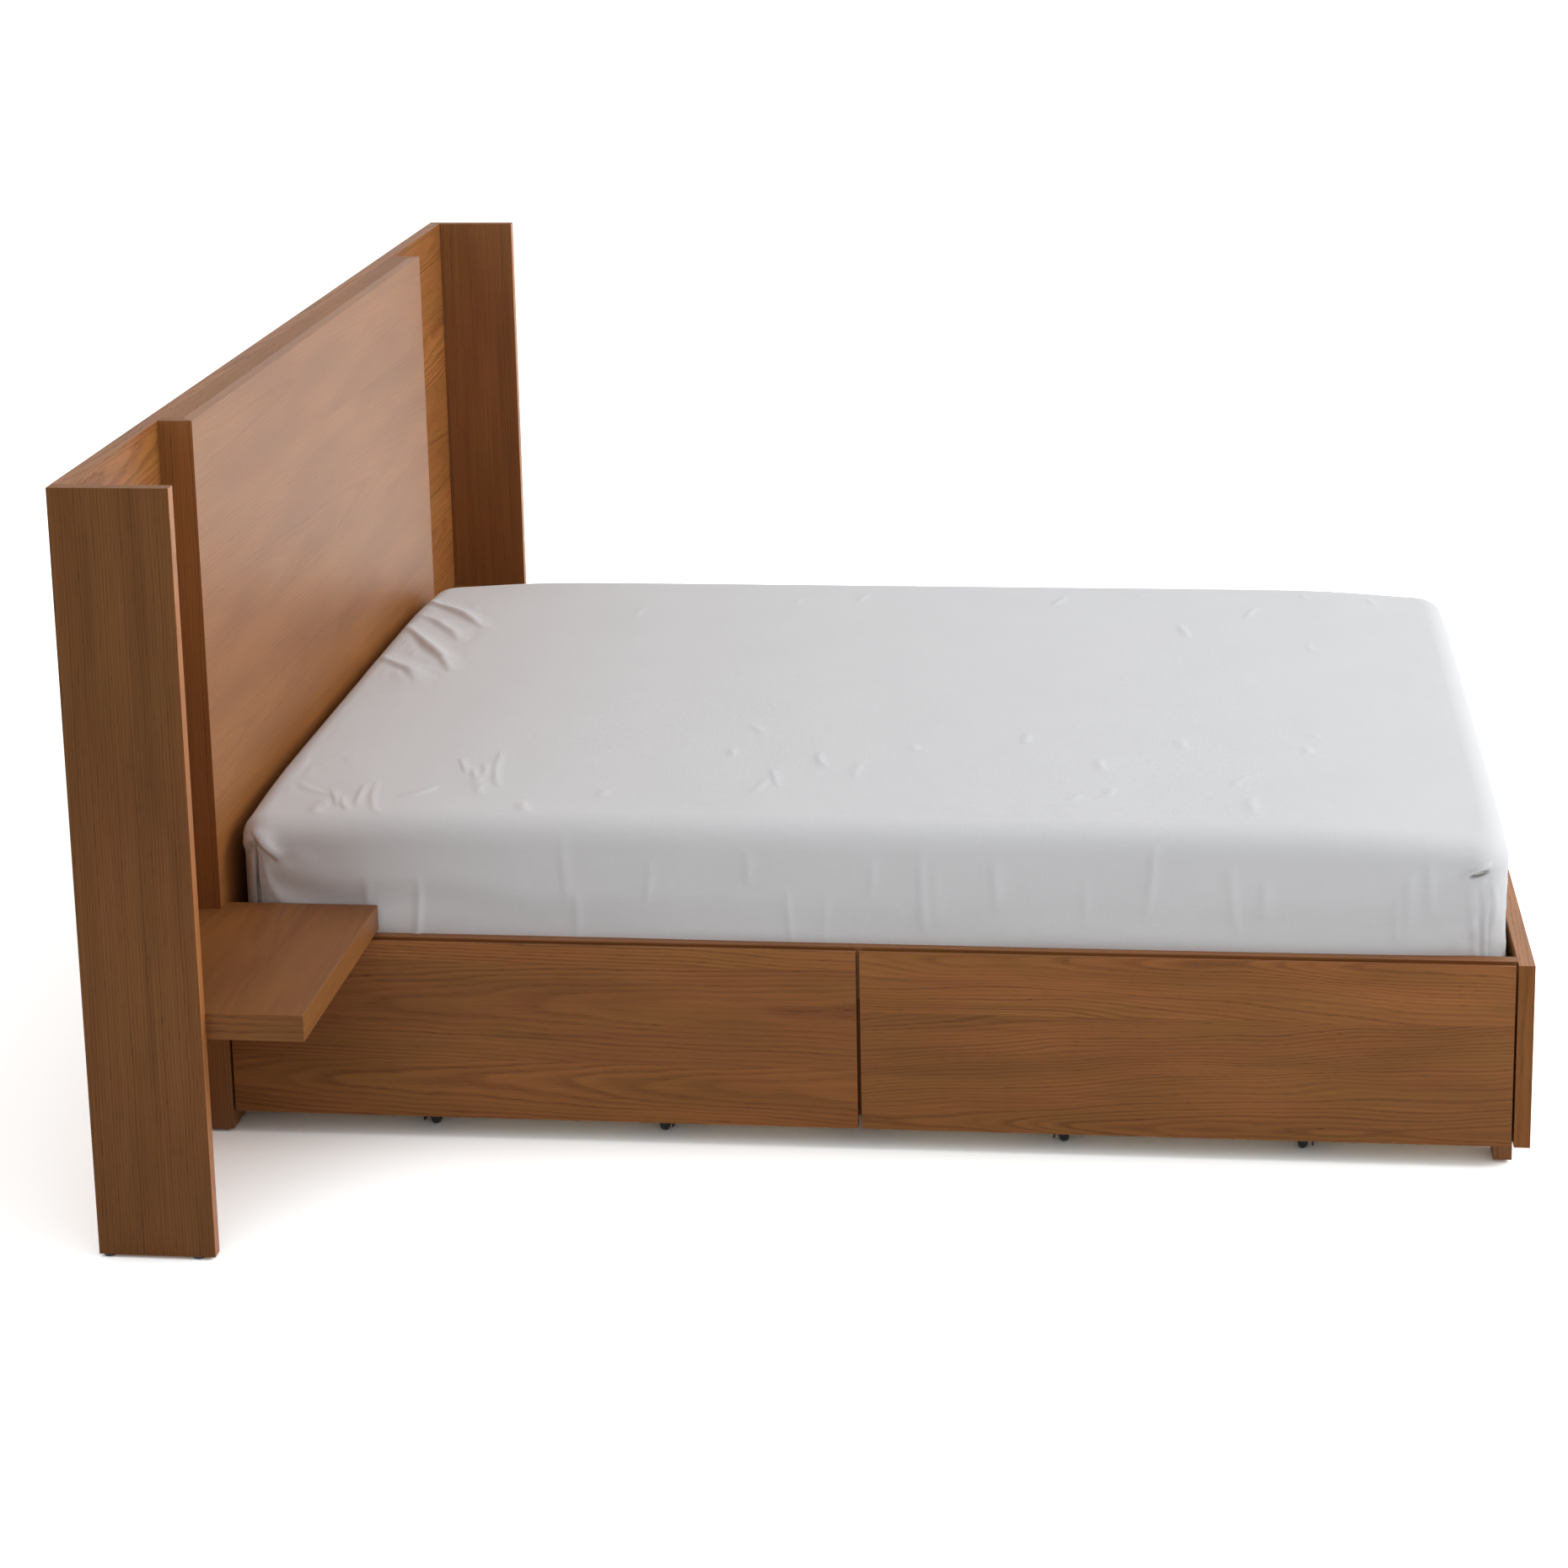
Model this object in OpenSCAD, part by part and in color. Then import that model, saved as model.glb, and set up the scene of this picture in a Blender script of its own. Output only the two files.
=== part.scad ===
// Queen storage bed: winged headboard, two floating nightstand shelves, low
// platform frame, four rolling drawers and a mattress in a fitted sheet.
// Millimetres. X runs across the bed (left is -X), +Y points to the headboard,
// +Z up. The origin is on the floor, under the middle of the bed.

/* [Mattress and sheet] */
// Width of the bare mattress
mattress_w = 1524; // [1370:2:1840]
// Length of the bare mattress
mattress_l = 2040; // [1900:5:2150]
// Height of the mattress at its edge
mattress_h = 250; // [200:5:300]
// How far the middle of the mattress stands above its edge
mattress_crown = 14; // [6:1:24]
// Plan radius of the mattress corners
mattress_corner_r = 70; // [50:5:110]
// Thickness of the fitted sheet
sheet_t = 1.7; // [1:0.1:3]
// Air between sheet and mattress
sheet_gap = 0.3; // [0.3:0.1:0.6]
// Free space between the dressed mattress and each side rail
mattress_side_gap = 2; // [1:0.5:8]
// Free space between the dressed mattress and the headboard
mattress_head_gap = 28; // [15:1:60]
// Free space between the dressed mattress and the footboard
mattress_foot_gap = 20; // [8:1:50]

/* [Headboard] */
// Height of the headboard above the floor
headboard_h = 1210; // [1000:5:1400]
// Thickness of the full-width back panel
back_t = 24; // [18:1:30]
// Thickness of the raised centre panel
centre_t = 56; // [44:1:80]
// Thickness of the boards the centre panel is made of
centre_board_t = 20; // [16:1:22]
// Height of the battens inside the centre panel
batten_h = 70; // [50:5:76]
// Height of the lowest batten's middle above the floor
batten_low = 160; // [110:5:160]
// Distance of the two upper battens' middles below the top of the headboard
batten_drops = [570, 210];
// Depth of the wings, from the wall
wing_depth = 183; // [140:1:260]
// Thickness of the wings
wing_t = 22; // [18:1:30]
// Thickness of the black glides under the wooden feet
glide_h = 5; // [3:1:8]
// Radius of the glides
glide_r = 9.5; // [7:0.5:12]
// Distance of the rear and front wing glides from the wall and from the wing's front
glide_inset = [14, 29];

/* [Nightstand shelves] */
// Clear width between a wing and the side of the bed
nightstand_w = 442; // [350:2:560]
// Depth of the shelf, from the face of the back panel
shelf_depth = 310; // [270:2:400]
// Thickness of the shelf
shelf_t = 42; // [30:1:50]
// Height of the shelf's underside above the top of the side rail
shelf_above_rail = 7; // [4:1:30]
// Free space between the shelf's inner end and the dressed mattress
shelf_mattress_gap = 10; // [5:1:25]
// Thickness of the hidden cleat under the shelf
cleat_t = 18; // [14:1:20]
// Height of the hidden cleat under the shelf
cleat_h = 40; // [30:1:60]

/* [Bed frame] */
// Height of the top of side rails and footboard above the floor
base_top = 344; // [330:1:380]
// Thickness of the side rails
rail_t = 22; // [18:1:28]
// Height of the side rails
rail_h = 90; // [80:1:96]
// Distance from the side plane of the bed in to the face of the rail
rail_setback = 18; // [18:1:24]
// Thickness of the footboard
foot_t = 26; // [20:1:36]
// Height of the footboard's lower edge above the floor
foot_bottom = 36; // [26:1:60]
// Length of a corner post across the bed
post_w = 60; // [40:2:80]
// Thickness of a corner post along the bed
post_t = 30; // [24:1:32]
// Distance from the face of the rail in to the face of the post
post_setback = 4; // [2:1:10]
// Depth of the slat deck's top below the top of the rails
deck_drop = 54; // [50:1:60]
// Thickness of a slat
slat_t = 18; // [14:1:22]
// Width of a slat
slat_w = 80; // [60:2:100]
// Number of slats
slat_count = 14; // [12:1:16]
// Distance of the first and last slat from the ends of the deck
slat_end_gap = 16; // [8:1:30]
// Width of the ledger strips that carry the slats
ledger_w = 25; // [20:1:35]
// Thickness of the cross rails at head and foot
cross_rail_t = 22; // [18:1:24]
// Height of the cross rails
cross_rail_h = 100; // [80:1:120]
// Thickness of the centre beam
beam_t = 30; // [24:1:40]
// Height of the centre beam
beam_h = 172; // [140:1:180]
// Radius of the feet under the centre beam
beam_foot_r = 20; // [14:1:26]
// Number of feet under the centre beam, even so that none stands at a divider
beam_foot_count = 4; // [2:2:6]
// Thickness of the divider between the two drawer bays
divider_t = 22; // [18:1:28]
// Height of the divider's lower edge above the floor
divider_bottom = 52; // [46:1:60]
// Length, width and thickness of a hook plate at a rail end
hook_plate = [70, 16, 2];

/* [Drawers] */
// Thickness of a drawer front
front_t = 16; // [14:1:17]
// Height of a drawer front
front_h = 305; // [280:1:306]
// Height of a drawer front's lower edge above the floor
front_bottom = 37; // [36:1:42]
// Gap between a drawer front and the headboard or footboard
front_end_gap = 4; // [3:0.5:8]
// Gap between two drawer fronts
front_mid_gap = 6; // [4:0.5:10]
// Depth and height of the finger bevel along the top of a front's inner face
finger_bevel = [9, 30];
// Distance from the end of a front in to the side of its box
box_inset = 32; // [28:1:40]
// Thickness of the boards of a drawer box
box_t = 15; // [12:1:18]
// Height of a drawer box
box_h = 200; // [150:1:204]
// Height of the drawer box's lower edge above the floor
box_bottom = 46; // [45:1:48]
// Free space between a drawer box and the centre beam
box_beam_gap = 55; // [20:1:200]
// Thickness of the drawer bottom
bottom_t = 9; // [6:0.5:12]
// Height of the drawer bottom above the lower edge of the box
bottom_lift = 9; // [8:1:12]
// Depth of the groove that holds the drawer bottom
groove_d = 6; // [4:0.5:8]
// Free space above the drawer bottom in its groove
groove_gap = 0.2; // [0.1:0.1:0.5]
// Height of a guide batten beside a drawer box
guide_h = 30; // [20:1:50]
// Free space between a drawer box and its guide battens
guide_gap = 0.5; // [0.3:0.1:1]

/* [Casters] */
// Radius of a caster wheel
wheel_r = 20; // [16:0.5:20]
// Width of a caster wheel
wheel_w = 16; // [12:0.5:20]
// Radius of the caster's axle
axle_r = 3; // [2.5:0.25:4]
// Running clearance between axle and wheel, on the radius
axle_gap = 0.05; // [0.02:0.01:0.1]
// Running clearance beside the wheel
wheel_side_gap = 0.3; // [0.2:0.1:1]
// Distance from the middle of the drawer to the middle of a wheel
wheel_offset = 193; // [120:1:320]
// Distance from the drawer's face in to the front axle
front_axle_in = 60; // [50:1:90]
// Distance from the back of the box in to the rear axle
rear_axle_in = 60; // [40:1:120]
// Thickness of the caster's steel
steel_t = 3; // [2:0.25:4]
// Clear distance between wheel and bracket arm
arm_gap = 6; // [3:0.5:9]
// Length and width of the caster's mounting plate
caster_plate = [64, 46];

/* [Hidden] */
$fn = 48;
oak = [0.47, 0.30, 0.18];
oak_dark = [0.40, 0.24, 0.14];
birch = [0.80, 0.68, 0.50];
pine = [0.82, 0.70, 0.52];
black = [0.08, 0.08, 0.08];
zinc = [0.62, 0.63, 0.64];
linen = [0.82, 0.82, 0.83];
ticking = [0.90, 0.88, 0.84];

// Places across the bed, measured outwards from its centre line
dressed_w = mattress_w + 2 * (sheet_t + sheet_gap);
x_rail_in = dressed_w / 2 + mattress_side_gap;
x_rail_out = x_rail_in + rail_t;
x_side = x_rail_out + rail_setback;
x_wing_in = x_side + nightstand_w;
x_wing_out = x_wing_in + wing_t;
x_post_out = x_rail_out - post_setback;
x_post_in = x_post_out - post_w;
x_shelf_in = dressed_w / 2 + shelf_mattress_gap;

// Places along the bed, with the wall at +Y
dressed_l = mattress_l + 2 * (sheet_t + sheet_gap);
bay_l = mattress_head_gap + dressed_l + mattress_foot_gap;
overall_l = back_t + centre_t + bay_l + foot_t;
y_wall = overall_l / 2;
y_recess = y_wall - back_t;
y_head = y_recess - centre_t;
y_foot_in = y_head - bay_l;
y_foot = y_foot_in - foot_t;
y_split = (y_head + y_foot_in) / 2;
y_mattress = y_head - mattress_head_gap - dressed_l / 2;

// Heights
rail_bottom = base_top - rail_h;
deck_top = base_top - deck_drop;
slat_bottom = deck_top - slat_t;
shelf_bottom = base_top + shelf_above_rail;
beam_bottom = slat_bottom - beam_h;
front_top = front_bottom + front_h;
box_top = box_bottom + box_h;
bottom_z = box_bottom + bottom_lift;
guide_bottom = box_bottom + bottom_lift + bottom_t;

// Drawers: one row for each, with its side of the bed (-1 is left) and the
// middle of its front along the bed
front_l = (bay_l - 2 * front_end_gap - front_mid_gap) / 2;
box_w = front_l - 2 * box_inset;
y_head_drawer = y_head - front_end_gap - front_l / 2;
y_foot_drawer = y_foot_in + front_end_gap + front_l / 2;
drawers = [
    ["drawer_left_head", -1, y_head_drawer],
    ["drawer_left_foot", -1, y_foot_drawer],
    ["drawer_right_head", 1, y_head_drawer],
    ["drawer_right_foot", 1, y_foot_drawer]
];
x_box_front = x_side - front_t;
x_box_back = beam_t / 2 + box_beam_gap;
x_front_axle = x_side - front_axle_in;
x_rear_axle = x_box_back + rear_axle_in;

// Slats
slat_l = 2 * x_rail_in - 4;
slat_pitch = (bay_l - 2 * slat_end_gap - slat_w) / (slat_count - 1);

// Bolts that hold the centre panel to the back panel, in counterbored holes
bolt_r = 4;
bolt_gap = 0.3;
bolt_head = [6.5, 8];
bolt_sink = 9;
bolt_bite = 22;
socket_r = 3.5;
batten_heights = [batten_low, slat_bottom - batten_h / 2,
    headboard_h - batten_drops[0], headboard_h - batten_drops[1]];

drawer_parts = ["front", "side_head", "side_foot", "back", "bottom",
    "caster_brackets", "front_wheels", "rear_wheels"];

// Draws its children on the right side of the bed, or mirrored on the left
module on_side(side) {
    if (side < 0) mirror([1, 0, 0]) children();
    else children();
}

// A block between two opposite corners
module block(low, high) {
    translate(low) cube(high - low);
}

// Headboard

module bolt_places() {
    for (x = [-0.8, -0.27, 0.27, 0.8] * x_side, z = [batten_heights[0], batten_heights[2]])
        translate([x, y_wall, z]) rotate([90, 0, 0]) children();
}

module back_panel() {
    color(oak) difference() {
        block([-x_wing_in, y_recess, glide_h], [x_wing_in, y_wall, headboard_h]);
        bolt_places() {
            translate([0, 0, -1]) cylinder(r = bolt_r + bolt_gap, h = back_t + 2);
            translate([0, 0, -1]) cylinder(r = bolt_head[0] + 1.5, h = bolt_sink + 1);
        }
    }
}

module wing(side) {
    color(oak) on_side(side)
        block([x_wing_in, y_wall - wing_depth, glide_h], [x_wing_out, y_wall, headboard_h]);
}

// Front board of the centre panel, mitred to the end boards
module centre_panel_face() {
    t = centre_board_t;
    color(oak) translate([0, 0, glide_h])
        linear_extrude(headboard_h - glide_h)
            polygon([[-x_side, y_head], [x_side, y_head],
                [x_side - t, y_head + t], [-x_side + t, y_head + t]]);
}

module centre_panel_end(side) {
    t = centre_board_t;
    color(oak) on_side(side) translate([0, 0, glide_h])
        linear_extrude(headboard_h - glide_h)
            polygon([[x_side, y_head], [x_side, y_recess],
                [x_side - t, y_recess], [x_side - t, y_head + t]]);
}

module centre_panel_cap() {
    t = centre_board_t;
    color(oak) block([-x_side + t, y_head + t, headboard_h - t],
        [x_side - t, y_recess, headboard_h]);
}

module centre_panel_battens() {
    t = centre_board_t;
    color(pine) difference() {
        for (z = batten_heights)
            block([-x_side + t, y_head + t, z - batten_h / 2],
                [x_side - t, y_recess, z + batten_h / 2]);
        bolt_places() cylinder(r = bolt_r + bolt_gap, h = back_t + bolt_bite + 1);
    }
}

module headboard_bolts() {
    color(zinc) bolt_places() difference() {
        union() {
            translate([0, 0, bolt_sink - bolt_head[1]])
                cylinder(r = bolt_head[0], h = bolt_head[1]);
            translate([0, 0, bolt_sink]) cylinder(r = bolt_r, h = back_t - bolt_sink + bolt_bite);
        }
        cylinder(r = socket_r, h = bolt_sink - 3, $fn = 6);
    }
}

// Every glide, under wings, centre panel ends, corner posts and beam feet
module glides() {
    wing_x = (x_wing_in + x_wing_out) / 2;
    color(black) for (side = [-1, 1]) {
        for (y = [y_wall - glide_inset[0], y_wall - wing_depth + glide_inset[1]])
            translate([side * wing_x, y, 0]) glide();
        translate([side * (x_side - centre_board_t), (y_head + y_recess) / 2 + 4, 0]) glide();
        translate([side * (x_post_in + post_w / 2), y_foot_in + post_t / 2, 0]) glide();
    }
}

module glide() {
    rotate_extrude() difference() {
        square([glide_r, glide_h]);
        translate([glide_r, 0]) rotate(45) square(2, center = true);
    }
}

// Nightstand shelves

module shelf(side) {
    color(oak) on_side(side) translate([0, 0, shelf_bottom])
        linear_extrude(shelf_t)
            polygon([[x_side, y_recess], [x_wing_in, y_recess],
                [x_wing_in, y_recess - shelf_depth], [x_shelf_in, y_recess - shelf_depth],
                [x_shelf_in, y_head], [x_side, y_head]]);
}

module shelf_cleats() {
    color(oak_dark) for (side = [-1, 1]) on_side(side)
        block([x_side, y_recess - cleat_t, shelf_bottom - cleat_h],
            [x_wing_in, y_recess, shelf_bottom]);
}

// Bed frame

module hook_plate_places() {
    for (side = [-1, 1], end = [-1, 1]) {
        y = end > 0 ? y_head : y_foot_in;
        translate([side * (x_rail_in + x_rail_out) / 2, y - end * hook_plate[2] / 2,
            (rail_bottom + base_top) / 2]) children();
    }
}

module hook_plate() {
    cube([hook_plate[1], hook_plate[2], hook_plate[0]], center = true);
}

module side_rail(side) {
    color(oak) difference() {
        on_side(side) block([x_rail_in, y_foot_in, rail_bottom], [x_rail_out, y_head, base_top]);
        hook_plate_places() hook_plate();
    }
}

module rail_hook_plates() {
    color(zinc) hook_plate_places() hook_plate();
}

module footboard() {
    color(oak) block([-x_side, y_foot, foot_bottom], [x_side, y_foot_in, base_top]);
}

module corner_posts() {
    color(oak_dark) for (side = [-1, 1]) on_side(side)
        block([x_post_in, y_foot_in, glide_h], [x_post_out, y_foot_in + post_t, rail_bottom]);
}

module cross_rails() {
    low = slat_bottom - cross_rail_h;
    color(pine) {
        block([-x_rail_in, y_head - cross_rail_t, low], [x_rail_in, y_head, slat_bottom]);
        block([-x_post_in, y_foot_in, low], [x_post_in, y_foot_in + cross_rail_t, slat_bottom]);
    }
}

module centre_beam() {
    color(pine) block([-beam_t / 2, y_foot_in + cross_rail_t, beam_bottom],
        [beam_t / 2, y_head - cross_rail_t, slat_bottom]);
}

// Turned feet, each with a levelling stem on a wide pad
module centre_beam_feet() {
    step = bay_l / (beam_foot_count + 1);
    pad_h = 6;
    stem_h = 14;
    color(black) for (i = [1:beam_foot_count]) translate([0, y_foot_in + i * step, 0]) {
        cylinder(r = beam_foot_r + 4, h = pad_h);
        cylinder(r = beam_foot_r / 3, h = pad_h + stem_h);
        translate([0, 0, pad_h + stem_h])
            cylinder(r = beam_foot_r, h = beam_bottom - pad_h - stem_h);
    }
}

module bay_divider(side) {
    color(oak_dark) on_side(side)
        block([beam_t / 2, y_split - divider_t / 2, divider_bottom],
            [x_post_out, y_split + divider_t / 2, rail_bottom]);
}

// Battens that keep each drawer box straight, two beside every box
module drawer_guides() {
    end_w = front_end_gap + box_inset - guide_gap;
    mid_w = front_mid_gap / 2 + box_inset - divider_t / 2 - guide_gap;
    color(pine) for (side = [-1, 1]) on_side(side) {
        for (y = [[y_head - end_w, y_head], [y_foot_in, y_foot_in + end_w],
                [y_split + divider_t / 2, y_split + divider_t / 2 + mid_w],
                [y_split - divider_t / 2 - mid_w, y_split - divider_t / 2]])
            block([beam_t / 2, y[0], guide_bottom], [x_post_in, y[1], guide_bottom + guide_h]);
    }
}

module slat_ledgers() {
    color(pine) for (side = [-1, 1]) on_side(side)
        block([x_rail_in - ledger_w, y_foot_in, rail_bottom],
            [x_rail_in, y_head - cross_rail_t, slat_bottom]);
}

// Flat slats with their upper edges eased
module slats() {
    ease = 2;
    color(pine) for (i = [0:slat_count - 1])
        translate([-slat_l / 2, y_foot_in + slat_end_gap + i * slat_pitch, slat_bottom])
            rotate([90, 0, 90]) linear_extrude(slat_l)
                polygon([[0, 0], [slat_w, 0], [slat_w, slat_t - ease], [slat_w - ease, slat_t],
                    [ease, slat_t], [0, slat_t - ease]]);
}

// Mattress and sheet: rings of one rounded outline, each drawn in from the
// widest one and set at its own height

corner_steps = 7;

// One ring: half sizes a and b, corner radius r, height z
function ring(a, b, r, z) = [
    for (q = [0:3])
        let (sx = (q == 0 || q == 3) ? 1 : -1, sy = q < 2 ? 1 : -1, turn = 90 * q)
        for (i = [0:corner_steps])
            let (t = turn + 90 * i / corner_steps)
            [sx * (a - r) + r * cos(t), sy * (b - r) + r * sin(t), z]
];

// Draw-in and height of each ring from the underside to the middle of the top
function mattress_profile(grow) = let (h = mattress_h, c = mattress_crown) [
    [26 - 0.3 * grow, 0 - 0 * grow],
    [12 - 0.8 * grow, 5 - 0.6 * grow],
    [3 - grow, 16 - 0.2 * grow],
    [0 - grow, 36],
    [2 - grow, h * 0.30],
    [4 - grow, h * 0.52],
    [2 - grow, h * 0.74],
    [2 - grow, h - 34],
    [6 - 0.9 * grow, h - 19 + 0.4 * grow],
    [16 - 0.6 * grow, h - 7 + 0.8 * grow],
    [34, h - 1 + grow],
    [90, h + 0.25 * c + grow],
    [200, h + 0.62 * c + grow],
    [380, h + 0.88 * c + grow],
    [600, h + c + grow]
];

function ring_points(grow, first) = let (p = mattress_profile(grow), a = mattress_w / 2,
    b = mattress_l / 2) [
    for (i = [first:len(p) - 1])
        let (d = min(p[i][0], 0.8 * a))
        each ring(a - d, b - d, max(mattress_corner_r - 0.5 * d, 20), p[i][1])
];

ring_n = 4 * (corner_steps + 1);

// Bands of triangles between rings, and a lid over the last or first ring
function bands(count, base, flip) = [
    for (i = [0:count - 2], j = [0:ring_n - 1])
        let (a = base + i * ring_n + j, b = base + i * ring_n + (j + 1) % ring_n,
            c = b + ring_n, d = a + ring_n)
        each flip ? [[a, b, c], [a, c, d]] : [[a, c, b], [a, d, c]]
];
function lid(base, centre, flip) = [
    for (j = [0:ring_n - 1])
        let (a = base + j, b = base + (j + 1) % ring_n)
        flip ? [a, b, centre] : [b, a, centre]
];

module mattress() {
    p = mattress_profile(0);
    n = len(p);
    top_c = n * ring_n;
    points = concat(ring_points(0, 0), [[0, 0, p[n - 1][1]], [0, 0, 0]]);
    faces = concat(bands(n, 0, false), lid((n - 1) * ring_n, top_c, false),
        lid(0, top_c + 1, true));
    color(ticking) translate([0, y_mattress, deck_top]) polyhedron(points, faces);
}

module fitted_sheet() {
    outer = ring_points(sheet_t + sheet_gap, 1);
    inner = ring_points(sheet_gap, 1);
    n = len(outer) / ring_n;
    top_o = 2 * n * ring_n;
    h = mattress_h + mattress_crown;
    points = concat(outer, inner, [[0, 0, h + sheet_gap + sheet_t], [0, 0, h + sheet_gap]]);
    hem = [for (j = [0:ring_n - 1])
        let (a = j, b = (j + 1) % ring_n, c = n * ring_n + b, d = n * ring_n + a)
        each [[a, b, c], [a, c, d]]];
    faces = concat(bands(n, 0, false), lid((n - 1) * ring_n, top_o, false),
        bands(n, n * ring_n, true), lid((2 * n - 1) * ring_n, top_o + 1, true), hem);
    color(linen) translate([0, y_mattress, deck_top]) polyhedron(points, faces);
}

// Drawers

module at_drawer(d) {
    on_side(d[1]) translate([0, d[2], 0]) children();
}

// Front with a bevel behind its top edge, where the fingers reach in, and a
// groove for the drawer bottom
module drawer_front(d) {
    w = finger_bevel[0];
    color(oak) at_drawer(d) difference() {
        translate([0, front_l / 2, 0]) rotate([90, 0, 0]) linear_extrude(front_l)
            polygon([[x_side, front_bottom], [x_side, front_top], [x_box_front + w, front_top],
                [x_box_front, front_top - finger_bevel[1]], [x_box_front, front_bottom]]);
        drawer_bottom_space();
    }
}

// The bottom with the free space above it, cut from the boards round it
module drawer_bottom_space() {
    half = box_w / 2 - box_t + groove_d;
    block([x_box_back, -half, bottom_z],
        [x_box_front + groove_d, half, bottom_z + bottom_t + groove_gap]);
}

module drawer_side(d, end) {
    y = [end * box_w / 2, end * (box_w / 2 - box_t)];
    color(birch) at_drawer(d) difference() {
        block([x_box_back, min(y), box_bottom], [x_box_front, max(y), box_top]);
        drawer_bottom_space();
    }
}

module drawer_back(d) {
    half = box_w / 2 - box_t;
    color(birch) at_drawer(d)
        block([x_box_back, -half, bottom_z + bottom_t], [x_box_back + box_t, half, box_top]);
}

module drawer_bottom(d) {
    half = box_w / 2 - box_t + groove_d;
    color(birch) at_drawer(d)
        block([x_box_back, -half, bottom_z], [x_box_front + groove_d, half, bottom_z + bottom_t]);
}

// Steel plate under the drawer bottom with one arm on the outer side, which
// carries a riveted axle
module caster_bracket() {
    arm_y = wheel_w / 2 + arm_gap;
    plate_y = [-wheel_w / 2 - 4, arm_y + steel_t + 4];
    nose_r = 2.6 * axle_r;
    reach = caster_plate[0] / 2;
    translate([0, 0, bottom_z - steel_t]) block([-reach, plate_y[0], 0], [reach, plate_y[1], steel_t]);
    translate([0, arm_y + steel_t, 0]) rotate([90, 0, 0]) linear_extrude(steel_t) {
        polygon([[-reach, bottom_z - steel_t / 2], [reach, bottom_z - steel_t / 2],
            [reach * 0.75, wheel_r - nose_r + 2], [nose_r, wheel_r - nose_r],
            [0, wheel_r - nose_r], [-nose_r * 1.4, wheel_r + nose_r]]);
        translate([0, wheel_r]) circle(nose_r);
    }
    translate([0, arm_y + steel_t, wheel_r]) rotate([90, 0, 0]) {
        cylinder(r = axle_r, h = arm_y + steel_t + wheel_w / 2 + wheel_side_gap + 1);
        translate([0, 0, steel_t]) cylinder(r = axle_r + 2, h = arm_gap - wheel_side_gap);
        translate([0, 0, arm_y + steel_t + wheel_w / 2 + wheel_side_gap])
            cylinder(r = axle_r + 2, h = 2);
    }
}

module caster_brackets(d) {
    color(black) at_drawer(d) for (end = [-1, 1], x = [x_front_axle, x_rear_axle])
        translate([x, end * wheel_offset, 0]) mirror([0, end < 0 ? 1 : 0, 0]) caster_bracket();
}

// Wheel with a half-round tread and a dished face on each side
module caster_wheel() {
    tread_r = wheel_w / 2;
    rotate([90, 0, 0]) rotate_extrude() difference() {
        union() {
            translate([0, -wheel_w / 2]) square([wheel_r - tread_r, wheel_w]);
            translate([wheel_r - tread_r, 0]) circle(tread_r);
        }
        translate([0, -wheel_w]) square([axle_r + axle_gap, 2 * wheel_w]);
        for (face = [-1, 1])
            translate([axle_r + 3.5, face * wheel_w / 2 - 1.5]) square([5, 3]);
    }
}

module caster_wheels(d, x) {
    color(black) at_drawer(d) for (end = [-1, 1])
        translate([x, end * wheel_offset, wheel_r]) caster_wheel();
}

back_panel();
wing(-1);  // wing_left
wing(1);  // wing_right
centre_panel_face();
centre_panel_end(-1);  // centre_panel_end_left
centre_panel_end(1);  // centre_panel_end_right
centre_panel_cap();
centre_panel_battens();
headboard_bolts();
glides();
shelf(-1);  // shelf_left
shelf(1);  // shelf_right
shelf_cleats();
side_rail(-1);  // side_rail_left
side_rail(1);  // side_rail_right
rail_hook_plates();
footboard();
corner_posts();
cross_rails();
centre_beam();
centre_beam_feet();
bay_divider(-1);  // bay_divider_left
bay_divider(1);  // bay_divider_right
drawer_guides();
slat_ledgers();
slats();
mattress();
fitted_sheet();
for (d = drawers) {
    drawer_front(d);
    drawer_side(d, 1);
    drawer_side(d, -1);
    drawer_back(d);
    drawer_bottom(d);
    caster_brackets(d);
    caster_wheels(d, x_front_axle);
    caster_wheels(d, x_rear_axle);
}
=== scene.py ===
"""Looks of the queen storage bed: stained oak boards with their grain, birch
drawer boxes, steel casters, and the mattress in its fitted sheet."""

import math
from types import SimpleNamespace

import bmesh
import bpy
import numpy as np
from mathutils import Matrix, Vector


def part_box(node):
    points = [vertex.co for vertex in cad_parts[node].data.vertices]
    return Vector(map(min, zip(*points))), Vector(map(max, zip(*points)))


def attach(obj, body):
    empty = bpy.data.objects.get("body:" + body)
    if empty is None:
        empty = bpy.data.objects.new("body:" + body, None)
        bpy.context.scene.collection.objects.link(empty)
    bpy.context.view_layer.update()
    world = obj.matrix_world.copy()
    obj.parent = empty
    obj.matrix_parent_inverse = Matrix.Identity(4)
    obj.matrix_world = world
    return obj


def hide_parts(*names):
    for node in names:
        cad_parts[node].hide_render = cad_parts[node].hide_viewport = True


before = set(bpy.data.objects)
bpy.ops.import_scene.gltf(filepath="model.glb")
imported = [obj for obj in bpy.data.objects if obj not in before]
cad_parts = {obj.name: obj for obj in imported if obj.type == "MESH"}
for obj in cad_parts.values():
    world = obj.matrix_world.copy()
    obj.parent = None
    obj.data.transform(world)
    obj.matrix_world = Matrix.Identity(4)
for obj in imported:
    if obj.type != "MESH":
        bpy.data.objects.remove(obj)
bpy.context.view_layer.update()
scene = bpy.context.scene

ROOT = "bed_frame"
DRAWERS = [f"drawer_{side}_{end}" for side in ("left", "right") for end in ("head", "foot")]


def adjust(thing, **values):
    """Sets the thing's values, and returns it."""
    for label, value in values.items():
        setattr(thing, label, value)
    return thing


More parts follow.
